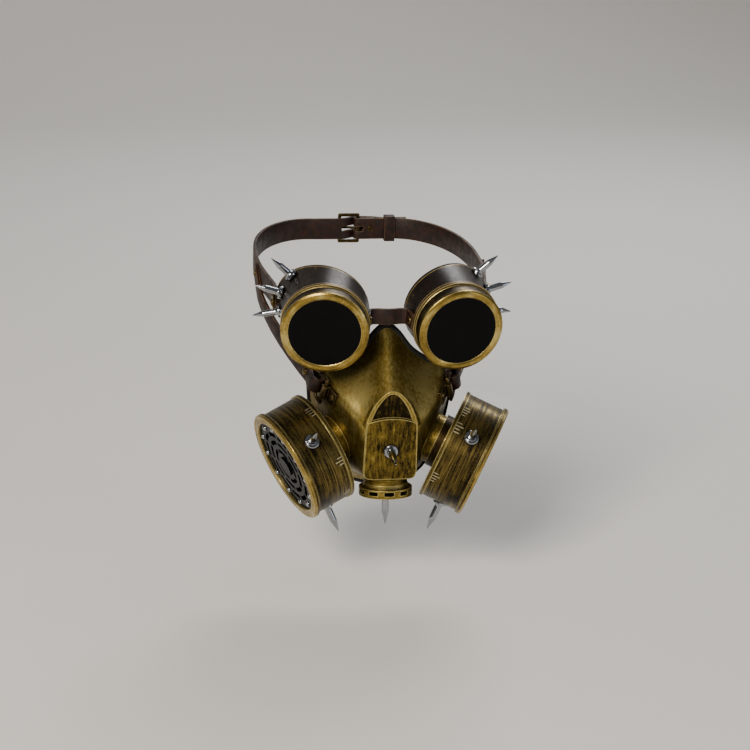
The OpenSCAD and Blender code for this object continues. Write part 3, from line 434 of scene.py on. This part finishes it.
def grained(obj, place=None, size=1.0):
    """Keeps each point's place in the piece's own frame, in millimetres, for the pattern to follow."""
    back = (place or Matrix.Identity(4)).inverted()
    store = obj.data.attributes.new("grain", "FLOAT_VECTOR", "POINT")
    store.data.foreach_set("vector", [c for v in obj.data.vertices for c in (back @ (v.co / MM)) * size])
    return obj


def settle(obj, node, finish_name=None, place=None):
    """Gives a finished piece its pattern frame, finish, body and slot, in place of its CAD node."""
    grained(obj, place)
    obj.data.materials.clear()
    obj.data.materials.append(finish(finish_name or SLOT[node]))
    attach(obj, BODY[node])
    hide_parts(node)
    return obj


def refined(node, angle=32, edge=0.0, place=None, finish_name=None):
    """A welded copy of a CAD node, smooth where it curves, with its corners eased by edge mm."""
    mesh = frame["nodes"][node].data.copy()
    work = bmesh.new()
    work.from_mesh(mesh)
    bmesh.ops.remove_doubles(work, verts=work.verts, dist=3e-6)
    if edge:
        bmesh.ops.dissolve_limit(work, angle_limit=math.radians(1.0), verts=work.verts, edges=work.edges)
    work.to_mesh(mesh)
    work.free()
    obj = new_object("v_" + node, mesh)
    obj.data.materials.clear()
    if edge:
        ease = obj.modifiers.new("ease", "BEVEL")
        ease.limit_method, ease.angle_limit = "ANGLE", math.radians(48)
        ease.width, ease.segments, ease.use_clamp_overlap = edge * MM, 2, True
        baked(obj)
    smoothed(obj, angle)
    return settle(obj, node, finish_name, place)


# ---- the half mask's surface ----
FRONT_SHAPE = [(0, 0), (0.28, 0.035), (0.6, 0.145), (0.8, 0.27), (0.9, 0.39), (0.925, 0.52), (0.94, 0.66),
               (0.95, 0.8), (0.95, 0.93), (0.82, 0.99), (0.42, 1), (0, 1)]
REAR_SHAPE = [(0, -0.1, 0), (0.16, -0.12, -0.045), (0.36, -0.12, -0.15), (0.62, 0.02, -0.225),
              (0.87, 0.38, -0.26), (1, 0.8, -0.36), (0.98, 1, -0.52), (0.89, 1, -0.69), (0.76, 0.95, -0.845),
              (0.55, 0.76, -0.95), (0.28, 0.57, -0.99), (0, 0.52, -1)]
MIDDLE_SHAPE = [(0.5, 0.5, 0.5), (0.5, 0.5, 0.5), (0.52, 0.47, 0.52), (0.68, 0.38, 0.55), (0.78, 0.28, 0.5),
                (0.68, 0.32, 0.5), (0.55, 0.42, 0.5), (0.4, 0.55, 0.5), (0.35, 0.6, 0.4), (0.4, 0.6, 0.2),
                (0.5, 0.6, 0.1), (0.5, 0.6, 0.1)]
SNOUT_W, SNOUT_H, CHEEK_W, JAW, SHELL_H, WALL = 38.6, 65, 98, 21, 116, 2.4
PLATE_TOP, ARCH_RISE, PLATE_H = 0.38, 5, 1.2     # the plate stands out as far as the recess goes in
BOSS_R, PORT_R, BOSS_FACE, PORT_DEEP = 17.5, 13, -37, 26
VALVE_BOSS_R, VALVE_BORE_R = 16.5, 11
LAST = len(FRONT_SHAPE) - 1
FRONTS = [FRONT @ Vector((x * SNOUT_W / 2, -y * SNOUT_H, 0)) for x, y in FRONT_SHAPE]
REARS = [Vector((x * CHEEK_W / 2, y * JAW, z * SHELL_H)) for x, y, z in REAR_SHAPE]
MIDDLES = [Vector([f[c] + (r[c] - f[c]) * m[c] for c in range(3)])
           for f, r, m in zip(FRONTS, REARS, MIDDLE_SHAPE)]


def spline(a, b, c, d, t):
    return 0.5 * (b * 2 + (c - a) * t + (a * 2 - b * 5 + c * 4 - d) * t * t
                  + (b * 3 - a - c * 3 + d) * t * t * t)


def flip_x(p):
    return Vector((-p[0], *p[1:]))


def pick(row, k):
    j = min(int(k), LAST - 1)
    row = [Vector(p) for p in row]
    before = flip_x(row[1]) if j == 0 else row[j - 1]
    after = flip_x(row[LAST - 1]) if j + 2 > LAST else row[j + 2]
    return spline(before, row[j], row[j + 1], after, k - j)


def shell_at(w, t):
    w = w % (2 * LAST)
    half = w if w <= LAST else 2 * LAST - w
    f, c, r = pick(FRONTS, half), pick(MIDDLES, half), pick(REARS, half)
    p = f * (1 - t) * (1 - t) + c * 2 * t * (1 - t) + r * t * t
    return p if w <= LAST else flip_x(p)


def shell_normal(w, t):
    return (shell_at(w + 0.1, t) - shell_at(w - 0.1, t)).cross(
        shell_at(w, t + 0.02) - shell_at(w, t - 0.02)).normalized()


def front_line(edge, drop, keep, samples=16):
    """The flat front's outline, drawn in by edge, where keep(x, y) holds, with its arch across."""
    w = SNOUT_W / 2 + 1
    r = (w * w + ARCH_RISE * ARCH_RISE) / (2 * ARCH_RISE)
    arch = lambda x: -PLATE_TOP * SNOUT_H + ARCH_RISE - r + math.sqrt(r * r - x * x)
    half = [pick([Vector((x * (SNOUT_W / 2 - edge), -y * SNOUT_H, 0)) for x, y in FRONT_SHAPE], i / samples)
            for i in range(LAST * samples + 1)]
    half = [(max(p.x, 0), p.y - drop) for p in half]
    above = keep == "above"
    side = [p for p in half if (p[1] > arch(p[0])) == above]
    cut = side[-1 if above else 0][0]
    sweep = [(-cut + 2 * cut * i / 32, arch(-cut + 2 * cut * i / 32)) for i in range(33)]
    if above:
        return [(-x, y) for x, y in reversed(side[1:])] + side + [(x, y) for x, y in reversed(sweep)]
    return side + [(-x, y) for x, y in reversed(side[:-1])] + sweep


def face_shell():
    sub, steps = 8, 24
    n = 2 * LAST * sub
    outer = from_loops("v_mask_shell", [[shell_at(i / sub, j / steps) for i in range(n)]
                                        for j in range(steps + 1)])
    inner = lambda i, t: shell_at(i / sub, t) - shell_normal(i / sub, t) * WALL
    back = FRONT.to_3x3() @ Vector((0, 0, -WALL))
    loops = [[inner(i, 0) + back for i in range(n)]]
    loops += [[inner(i, j / 12) for i in range(n)] for j in range(1, 13)]
    loops += [[inner(i, 1) + (inner(i, 1) - inner(i, 0.9)).normalized() * 4 for i in range(n)]]
    tools = []
    for side in SIDES:
        tools.append((rod("boss_" + side, BOSS_R, BOSS_FACE - PORT_DEEP, BOSS_FACE, sided(CANISTER, side)),
                      "UNION"))
    tools += [
        (rod("valve_boss", VALVE_BOSS_R, -14, 0, VALVE), "UNION"),
        (prism("plate", front_line(0.4, 0, "below"), -1, PLATE_H, FRONT), "UNION"),
        (from_loops("hollow", loops), "DIFFERENCE"),
        (prism("recess", front_line(2.6, 2, "above"), -PLATE_H, 4, FRONT), "DIFFERENCE")]
    for side in SIDES:
        tools.append((rod("port_" + side, PORT_R, BOSS_FACE - PORT_DEEP - 1, BOSS_FACE + 1,
                          sided(CANISTER, side)), "DIFFERENCE"))
    tools.append((rod("valve_bore", VALVE_BORE_R, -20, 1, VALVE), "DIFFERENCE"))
    carve(outer, tools)
    smoothed(outer, 34)
    front = FRONT.inverted()
    # Stored per point: wash and painted shade in the recess, painted shade low on the sides, a painted
    # highlight on the cheekbones
    store = outer.data.attributes.new("wash", "FLOAT", "POINT")
    store.data.foreach_set("value", [wash_and_painted_light(v.co / MM, front) for v in outer.data.vertices])
    return settle(outer, "mask_shell")


def eased(value, low, high):
    t = min(1, max(0, (value - low) / (high - low)))
    return t * t * (3 - 2 * t)


def wash_and_painted_light(p, front):
    """Darkening per point: wash and painted shade in the recess, darker on the plate, painted shade low on
    the sides, darker towards the rear edge, and a painted highlight on the cheekbones.
    """
    q = front @ p
    inside = abs(q.x) < SNOUT_W / 2 and -SNOUT_H - 1 < q.y < 0
    # The recess floor is darker from wash and painted shade; the plate face is darker too
    if inside and -PLATE_H - 0.2 < q.z < -PLATE_H + 0.3:
        return 0.21
    if inside and PLATE_H - 0.2 < q.z < PLATE_H + 0.2:
        return 0.14
    # Painted shade low on the sides, where the shell faces down; darker towards the rear edge; a painted
    # highlight on the cheekbones
    jaw_shade = eased(-p.z, 62, 92) * eased(abs(p.x), 18, 34)
    rear = eased(abs(p.x), 40, 49)
    cheek_highlight = math.exp(-((abs(p.x) - 25) / 11) ** 2 - ((p.z + 36) / 17) ** 2)
    return 0.11 * jaw_shade + 0.07 * rear - 0.14 * cheek_highlight


def seal():
    """The soft rolled edge of the half mask."""
    sub, sides, bead = 8, 20, 2.5
    n = 2 * LAST * sub
    rims = [shell_at(i / sub, 1) - shell_normal(i / sub, 1) * WALL / 2
            + (shell_at(i / sub, 1) - shell_at(i / sub, 0.92)).normalized() * 2.95 for i in range(n)]
    loops = []
    for i, c in enumerate(rims):
        run = (rims[(i + 1) % n] - rims[i - 1]).normalized()
        a = shell_normal(i / sub, 1)
        b = run.cross(a)
        turns = [q * 2 * math.pi / sides for q in range(sides)]
        loops.append([c + bead * (a * math.cos(turn) + b * math.sin(turn)) for turn in turns])
    obj = smoothed(ring_of_loops("v_face_seal", loops), 60)
    return settle(obj, "face_seal")


def cup_at(angle, t, inset=0):
    grow = t ** 1.6
    c, s = math.cos(angle), math.sin(angle)
    wide = (7 * c if c > 0 else 1) * grow
    deep = 22 + 22 * (0.5 + 0.5 * c) ** 2.2
    return Vector(((28.5 + wide - inset) * c, (28.5 + 1.5 * grow - inset) * s, -14 - deep * t))


def eye_pad(side):
    """A stuffed leather roll round the goggle's rear edge: crowned, with a sewn seam that draws it
    in on the inside and small puckers along it."""
    place = sided(LENS, side)
    around, sides, r = 180, 20, 2.6
    loops = []
    for i in range(around):
        a = i * 2 * math.pi / around
        centre = cup_at(a, 1, r + 0.6) - Vector((0, 0, r + 0.05))
        out = Vector((math.cos(a), math.sin(a), 0))
        pucker = 0.16 * max(0, math.sin(a * 54)) + 0.08 * math.sin(a * 7 + 1)
        loop = []
        for q in range(sides):
            b = q * 2 * math.pi / sides
            near = abs((b - math.radians(215) + math.pi) % (2 * math.pi) - math.pi)
            draw = 0.55 * math.exp(-(near / 0.28) ** 2)
            size = r * 0.99 - draw - pucker * math.exp(-(near / 0.9) ** 2)
            loop.append(place @ (centre + size * (out * math.cos(b) - Vector((0, 0, 1)) * math.sin(b))))
        loops.append(loop)
    node = side + "_eyecup_pad"
    obj = smoothed(ring_of_loops("v_" + node, loops), 70)
    settle(obj, node, place=place)
    return obj


# ---- repeated pieces ----
def arc_marks_tree():
    """A row of short bars along an arc, each across it."""
    tree = bpy.data.node_groups.new("Arc Marks", "GeometryNodeTree")
    face = tree.interface
    face.new_socket("Geometry", in_out="OUTPUT", socket_type="NodeSocketGeometry")
    for name, kind, value in (("Radius", "Float", 0.0385), ("Start", "Float", 0.0), ("Gap", "Float", 0.05),
                              ("Marks", "Int", 4), ("Length", "Float", 0.005), ("Width", "Float", 0.0004),
                              ("Thickness", "Float", 0.0002), ("Uneven", "Float", 0.3), ("Seed", "Int", 7)):
        face.new_socket(name, in_out="INPUT", socket_type="NodeSocket" + kind).default_value = value
    face.new_socket("Material", in_out="INPUT", socket_type="NodeSocketMaterial")
    inside = add(tree, "NodeGroupInput").outputs
    line = add(tree, "GeometryNodePoints", {"Count": inside["Marks"]})
    index = add(tree, "GeometryNodeInputIndex").outputs[0]
    angle = add(tree, "ShaderNodeMath", {0: index, 1: inside["Gap"], 2: inside["Start"]},
                operation="MULTIPLY_ADD").outputs[0]
    cosine = add(tree, "ShaderNodeMath", {0: angle}, operation="COSINE").outputs[0]
    sine = add(tree, "ShaderNodeMath", {0: angle}, operation="SINE").outputs[0]
    x = add(tree, "ShaderNodeMath", {0: cosine, 1: inside["Radius"]}, operation="MULTIPLY").outputs[0]
    y = add(tree, "ShaderNodeMath", {0: sine, 1: inside["Radius"]}, operation="MULTIPLY").outputs[0]
    jitter = add(tree, "FunctionNodeRandomValue", {2: 0.0, 3: 1.0, "Seed": inside["Seed"]})
    short = add(tree, "ShaderNodeMath", {0: jitter.outputs[1], 1: inside["Uneven"]}, operation="MULTIPLY")
    keep = add(tree, "ShaderNodeMath", {0: 1.0, 1: short.outputs[0]}, operation="SUBTRACT").outputs[0]
    lower = add(tree, "ShaderNodeMath", {0: short.outputs[0], 1: inside["Length"]}, operation="MULTIPLY")
    drop = add(tree, "ShaderNodeMath", {0: lower.outputs[0], 1: -0.5}, operation="MULTIPLY").outputs[0]
    where = add(tree, "ShaderNodeCombineXYZ", {0: x, 1: y, 2: drop})
    put = add(tree, "GeometryNodeSetPosition", {"Geometry": line.outputs[0], "Position": where.outputs[0]})
    size = add(tree, "ShaderNodeCombineXYZ", {0: inside["Thickness"], 1: inside["Width"],
                                              2: inside["Length"]})
    bar = add(tree, "GeometryNodeMeshCube", {"Size": size.outputs[0]})
    turn = add(tree, "ShaderNodeCombineXYZ", {2: angle})
    scale = add(tree, "ShaderNodeCombineXYZ", {0: 1.0, 1: 1.0, 2: keep})
    row = add(tree, "GeometryNodeInstanceOnPoints", {"Points": put.outputs[0], "Instance": bar.outputs[0],
                                                     "Rotation": turn.outputs[0], "Scale": scale.outputs[0]})
    real = add(tree, "GeometryNodeRealizeInstances", {0: row.outputs[0]})
    skin = add(tree, "GeometryNodeSetMaterial", {0: real.outputs[0], "Material": inside["Material"]})
    add(tree, "NodeGroupOutput", {0: skin.outputs[0]})
    return tree


def domed_studs_tree():
    """A circle of domed studs, each a low dome on a short collar."""
    tree = bpy.data.node_groups.new("Domed Studs", "GeometryNodeTree")
    face = tree.interface
    face.new_socket("Geometry", in_out="OUTPUT", socket_type="NodeSocketGeometry")
    for name, kind, value in (("Count", "Int", 12), ("Ring Radius", "Float", 0.03),
                              ("Stud Radius", "Float", 0.0019), ("Dome", "Float", 0.00135),
                              ("Shank", "Float", 0.0024)):
        face.new_socket(name, in_out="INPUT", socket_type="NodeSocket" + kind).default_value = value
    face.new_socket("Material", in_out="INPUT", socket_type="NodeSocketMaterial")
    inside = add(tree, "NodeGroupInput").outputs
    circle = add(tree, "GeometryNodeMeshCircle", {"Vertices": inside["Count"],
                                                  "Radius": inside["Ring Radius"]})
    ball = add(tree, "GeometryNodeMeshUVSphere", {"Segments": 24, "Rings": 12, "Radius": 1.0})
    squash = add(tree, "ShaderNodeCombineXYZ", {0: inside["Stud Radius"], 1: inside["Stud Radius"],
                                                2: inside["Dome"]})
    dome = add(tree, "GeometryNodeTransform", {"Geometry": ball.outputs[0], "Scale": squash.outputs[0]})
    thin = add(tree, "ShaderNodeMath", {0: inside["Stud Radius"], 1: 0.44}, operation="MULTIPLY")
    half = add(tree, "ShaderNodeMath", {0: inside["Shank"], 1: -0.5}, operation="MULTIPLY")
    down = add(tree, "ShaderNodeCombineXYZ", {2: half.outputs[0]})
    pin = add(tree, "GeometryNodeMeshCylinder", {"Vertices": 16, "Radius": thin.outputs[0],
                                                 "Depth": inside["Shank"]})
    pin = add(tree, "GeometryNodeTransform", {"Geometry": pin.outputs[0], "Translation": down.outputs[0]})
    cut = add(tree, "GeometryNodeMeshBoolean", {"Mesh 2": dome.outputs[0]}, operation="UNION")
    tree.links.new(pin.outputs[0], cut.inputs["Mesh 2"])
    row = add(tree, "GeometryNodeInstanceOnPoints", {"Points": circle.outputs[0], "Instance": cut.outputs[0]})
    real = add(tree, "GeometryNodeRealizeInstances", {0: row.outputs[0]})
    skin = add(tree, "GeometryNodeSetMaterial", {0: real.outputs[0], "Material": inside["Material"]})
    add(tree, "NodeGroupOutput", {0: skin.outputs[0]})
    return tree


def grown(name, tree, values, place):
    """A plain mesh from a tree with these inputs, then put in its place."""
    obj = new_object(name, bpy.data.meshes.new(name))
    step = obj.modifiers.new("grow", "NODES")
    step.node_group = tree
    sockets = {s.name: s.identifier for s in tree.interface.items_tree if s.in_out == "INPUT"}
    for key, value in values.items():
        step[sockets[key]] = value
    baked(obj)
    if not obj.data.polygons:
        raise RuntimeError(name + " grew nothing")
    inner = Matrix.Scale(MM, 4) @ place @ Matrix.Scale(1 / MM, 4)
    obj.data.transform(inner)
    if inner.determinant() < 0:
        obj.data.flip_normals()
    return obj


# Where each group of marks starts round the canister, in degrees, and how many it has
MARK_ROWS = {"left": [(112, 4), (133, 4), (192, 4)], "right": [(107, 4), (170, 3), (216, 3)]}


def gauge_marks(side, tree):
    """Short marks scribed round the canister's rear edge, in small groups."""
    look = bpy.context.scene.mask_look
    place = sided(CANISTER, side) @ Matrix.Translation((0, 0, -26.4))
    rows = []
    for k, (start, count) in enumerate(MARK_ROWS[side]):
        rows.append(grown(f"marks_{side}_{k}", tree, {
            "Radius": 0.03846, "Start": math.radians(start), "Gap": math.radians(3.6), "Marks": count,
            "Length": look.mark_length, "Width": look.mark_width, "Thickness": 0.00018, "Uneven": 0.45,
            "Seed": 11 + k, "Material": finish("scribed_metal")}, place))
    joined = bmesh.new()
    for row in rows:
        joined.from_mesh(row.data)
        bpy.data.objects.remove(row)
    mesh = bpy.data.meshes.new("marks")
    joined.to_mesh(mesh)
    joined.free()
    obj = grained(new_object(side + "_gauge_marks", mesh), place)
    obj.data.materials.append(finish("scribed_metal"))
    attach(obj, "mask")
    return obj


def grille_studs(side, tree):
    node = side + "_grille_studs"
    place = sided(CANISTER, side) @ Matrix.Translation((0, 0, -1.8))
    obj = grown("v_" + node, tree, {"Count": 12, "Ring Radius": 0.03, "Stud Radius": 0.0019, "Dome": 0.00132,
                                    "Shank": 0.0023, "Material": finish("chromed_steel")}, place)
    smoothed(obj, 40)
    return settle(obj, node, place=place)


# ---- settings ----
class MaskLook(bpy.types.PropertyGroup):
    metal: bpy.props.StringProperty(name="Metal", description="Colour of the antique brass paint, as hex",
                                    default="#86702E")
    # The dark wash colour, which is also the painted shade in hollows and low on the shell
    wash_and_shade: bpy.props.StringProperty(name="Patina", description="Colour of the dark wash, as hex",
                                     default="#1C1406")
    # The rubbed colour, which the top of the ramp also uses for the painted highlight on the cheekbones
    rubbed: bpy.props.StringProperty(name="Rubbed", description="Colour of the rubbed corners, as hex",
                                     default="#D9C67C")
    mark_length: bpy.props.FloatProperty(name="Mark Length", description="Length of a scribed mark",
                                         default=0.0062, min=0.003, max=0.01, unit="LENGTH")
    mark_width: bpy.props.FloatProperty(name="Mark Width", description="Width of a scribed mark",
                                        default=0.0006, min=0.0002, max=0.001, unit="LENGTH")


class StageLook(bpy.types.PropertyGroup):
    azimuth: bpy.props.FloatProperty(name="Azimuth", description="Camera's angle round the mask",
                                     default=math.radians(-9), subtype="ANGLE")
    elevation: bpy.props.FloatProperty(name="Elevation", description="Camera's angle above the mask",
                                       default=math.radians(18), subtype="ANGLE")
    roll: bpy.props.FloatProperty(name="Roll", description="Camera's turn about its own line",
                                  default=math.radians(1.7), subtype="ANGLE")
    distance: bpy.props.FloatProperty(name="Distance", description="From the camera to the mask",
                                      default=1.5, min=0.5, max=5, unit="LENGTH")
    floor_tone: bpy.props.StringProperty(name="Floor", description="Colour of the floor, as hex",
                                         default="#E4E2DE")


# ---- operators ----
class MASK_OT_finishes(bpy.types.Operator):
    """Mixes every finish that the pieces use"""
    bl_idname = "mask.finishes"
    bl_label = "Finishes"

    def execute(self, context):
        mix_finishes()
        return {"FINISHED"}


class MASK_OT_shell(bpy.types.Operator):
    """Builds the half mask's shell and its soft edge"""
    bl_idname = "mask.shell"
    bl_label = "Shell"

    def execute(self, context):
        face_shell()
        seal()
        return {"FINISHED"}


class MASK_OT_valve(bpy.types.Operator):
    """Finishes the valve below the snout"""
    bl_idname = "mask.valve"
    bl_label = "Valve"

    def execute(self, context):
        for node in ("valve_barrel", "valve_cover", "valve_flap"):
            refined(node, place=VALVE)
        return {"FINISHED"}


class MASK_OT_canisters(bpy.types.Operator):
    """Finishes the canisters, their rims and grilles, and scribes their marks"""
    bl_idname = "mask.canisters"
    bl_label = "Canisters"

    def execute(self, context):
        marks, studs = arc_marks_tree(), domed_studs_tree()
        for side in SIDES:
            place = sided(CANISTER, side)
            for part in ("neck", "neck_nut", "drum", "filter_pad", "grille", "rim_ring"):
                refined(side + "_" + part, place=place)
            gauge_marks(side, marks)
            grille_studs(side, studs)
        return {"FINISHED"}


class MASK_OT_goggles(bpy.types.Operator):
    """Finishes the eyecups, lenses and bezels, and stuffs the pads behind them"""
    bl_idname = "mask.goggles"
    bl_label = "Goggles"

    def execute(self, context):
        for side in SIDES:
            place = sided(LENS, side)
            for part in ("eyecup", "eye_gasket", "lens", "bezel"):
                refined(side + "_" + part, place=place)
            eye_pad(side)
        return {"FINISHED"}


class MASK_OT_spikes(bpy.types.Operator):
    """Polishes the spikes and their screws"""
    bl_idname = "mask.spikes"
    bl_label = "Spikes"

    def execute(self, context):
        for node in frame["nodes"]:
            if node.endswith(("spike", "spikes", "screws")):
                refined(node)
        return {"FINISHED"}


class MASK_OT_straps(bpy.types.Operator):
    """Finishes the leather straps and their rings, buckle and rivets"""
    bl_idname = "mask.straps"
    bl_label = "Straps"

    def execute(self, context):
        for node in ("left_head_strap", "right_head_strap", "left_cheek_strap", "right_cheek_strap",
                     "nose_bridge", "strap_keeper"):
            refined(node, angle=40, edge=0.35)
        for node in frame["nodes"]:
            if node.endswith(("ring_tab", "strap_lug", "rivets", "buckle", "d_ring", "prong")):
                refined(node)
        return {"FINISHED"}


def light(name, kind, place, aim, size, power, tone):
    lamp = bpy.data.lights.new(name, kind)
    lamp.energy, lamp.color = power, paint(tone)[:3]
    lamp.shape, lamp.size, lamp.size_y = "RECTANGLE", size[0], size[1]
    made = bpy.data.objects.new(name, lamp)
    made.location = place
    made.rotation_euler = (Vector(aim) - Vector(place)).to_track_quat("-Z", "Y").to_euler()
    bpy.context.scene.collection.objects.link(made)


class MASK_OT_stage(bpy.types.Operator):
    """Lays a pale floor, lights it softly and sets the camera"""
    bl_idname = "mask.stage"
    bl_label = "Stage"

    def execute(self, context):
        look = context.scene.mask_stage
        mesh = bpy.data.meshes.new("floor")
        half, low, rear, bend, top = 6.0, -0.19, 1.6, 0.9, 4.0
        rows = [(-half, low)] + [(rear + bend * math.sin(a), low + bend - bend * math.cos(a))
                                 for a in [i * math.pi / 24 for i in range(13)]] + [(rear + bend, top)]
        points = [(x, y, z) for y, z in rows for x in (-half, half)]
        mesh.from_pydata(points, [], [(2 * i, 2 * i + 1, 2 * i + 3, 2 * i + 2) for i in range(len(rows) - 1)])
        floor = new_object("floor", mesh)
        for face in mesh.polygons:
            face.use_smooth = True
        material, tree, shader = begin("plain_floor")
        shader.inputs["Base Color"].default_value = paint(look.floor_tone)
        shader.inputs["Roughness"].default_value = 0.9
        mesh.materials.append(material)
        world = bpy.data.worlds.new("studio")
        world.use_nodes = True
        world.node_tree.nodes["Background"].inputs[0].default_value = paint("#DDE1E6")
        world.node_tree.nodes["Background"].inputs[1].default_value = 0.2
        context.scene.world = world
        light("key", "AREA", (-1.0, -1.6, 1.2), (0, 0, -0.05), (0.75, 0.75), 56, "#FFF6E8")
        light("fill", "AREA", (1.5, -1.3, 0.3), (0, 0, -0.05), (0.5, 1.1), 6, "#EAF0FF")
        light("back", "AREA", (0.6, 1.2, 1.1), (0, 0.05, 0), (0.8, 0.5), 14, "#FFFFFF")
        a, e, roll = look.azimuth, look.elevation, look.roll
        away = Vector((math.sin(a) * math.cos(e), -math.cos(a) * math.cos(e), math.sin(e)))
        right = Vector((math.cos(a), math.sin(a), 0))
        up = away.cross(right)
        right, up = (right * math.cos(roll) + up * math.sin(roll),
                     up * math.cos(roll) - right * math.sin(roll))
        centre = Vector((0, -0.02, -0.046)) - right * 0.0095 + up * 0.017
        camera = bpy.data.objects.new("camera", bpy.data.cameras.new("camera"))
        camera.data.sensor_width, camera.data.lens = 36, 105.9
        turn = Matrix((right, up, away)).transposed().to_4x4()
        camera.matrix_world = Matrix.Translation(centre + away * look.distance) @ turn
        context.scene.collection.objects.link(camera)
        context.scene.camera = camera
        return {"FINISHED"}


class MASK_PT_panel(bpy.types.Panel):
    """Lists the pieces in the order they are made"""
    bl_idname = "MASK_PT_panel"
    bl_label = "Plague Doctor Mask"
    bl_space_type = "VIEW_3D"
    bl_region_type = "UI"
    bl_category = "Mask"

    def draw(self, context):
        for group in (context.scene.mask_look, context.scene.mask_stage):
            for key in group.__annotations__:
                self.layout.prop(group, key)
        for step in STEPS:
            self.layout.operator(step.bl_idname)


STEPS = (MASK_OT_finishes, MASK_OT_shell, MASK_OT_valve, MASK_OT_canisters, MASK_OT_goggles,
         MASK_OT_spikes, MASK_OT_straps, MASK_OT_stage)
CLASSES = (MaskLook, StageLook) + STEPS + (MASK_PT_panel,)


def register():
    for item in CLASSES:
        bpy.utils.register_class(item)
    bpy.types.Scene.mask_look = bpy.props.PointerProperty(type=MaskLook)
    bpy.types.Scene.mask_stage = bpy.props.PointerProperty(type=StageLook)


def unregister():
    del bpy.types.Scene.mask_stage
    del bpy.types.Scene.mask_look
    for item in reversed(CLASSES):
        bpy.utils.unregister_class(item)


def main():
    register()
    for step in STEPS:
        group, name = step.bl_idname.split(".")
        getattr(getattr(bpy.ops, group), name)()


if __name__ == "__main__":
    main()
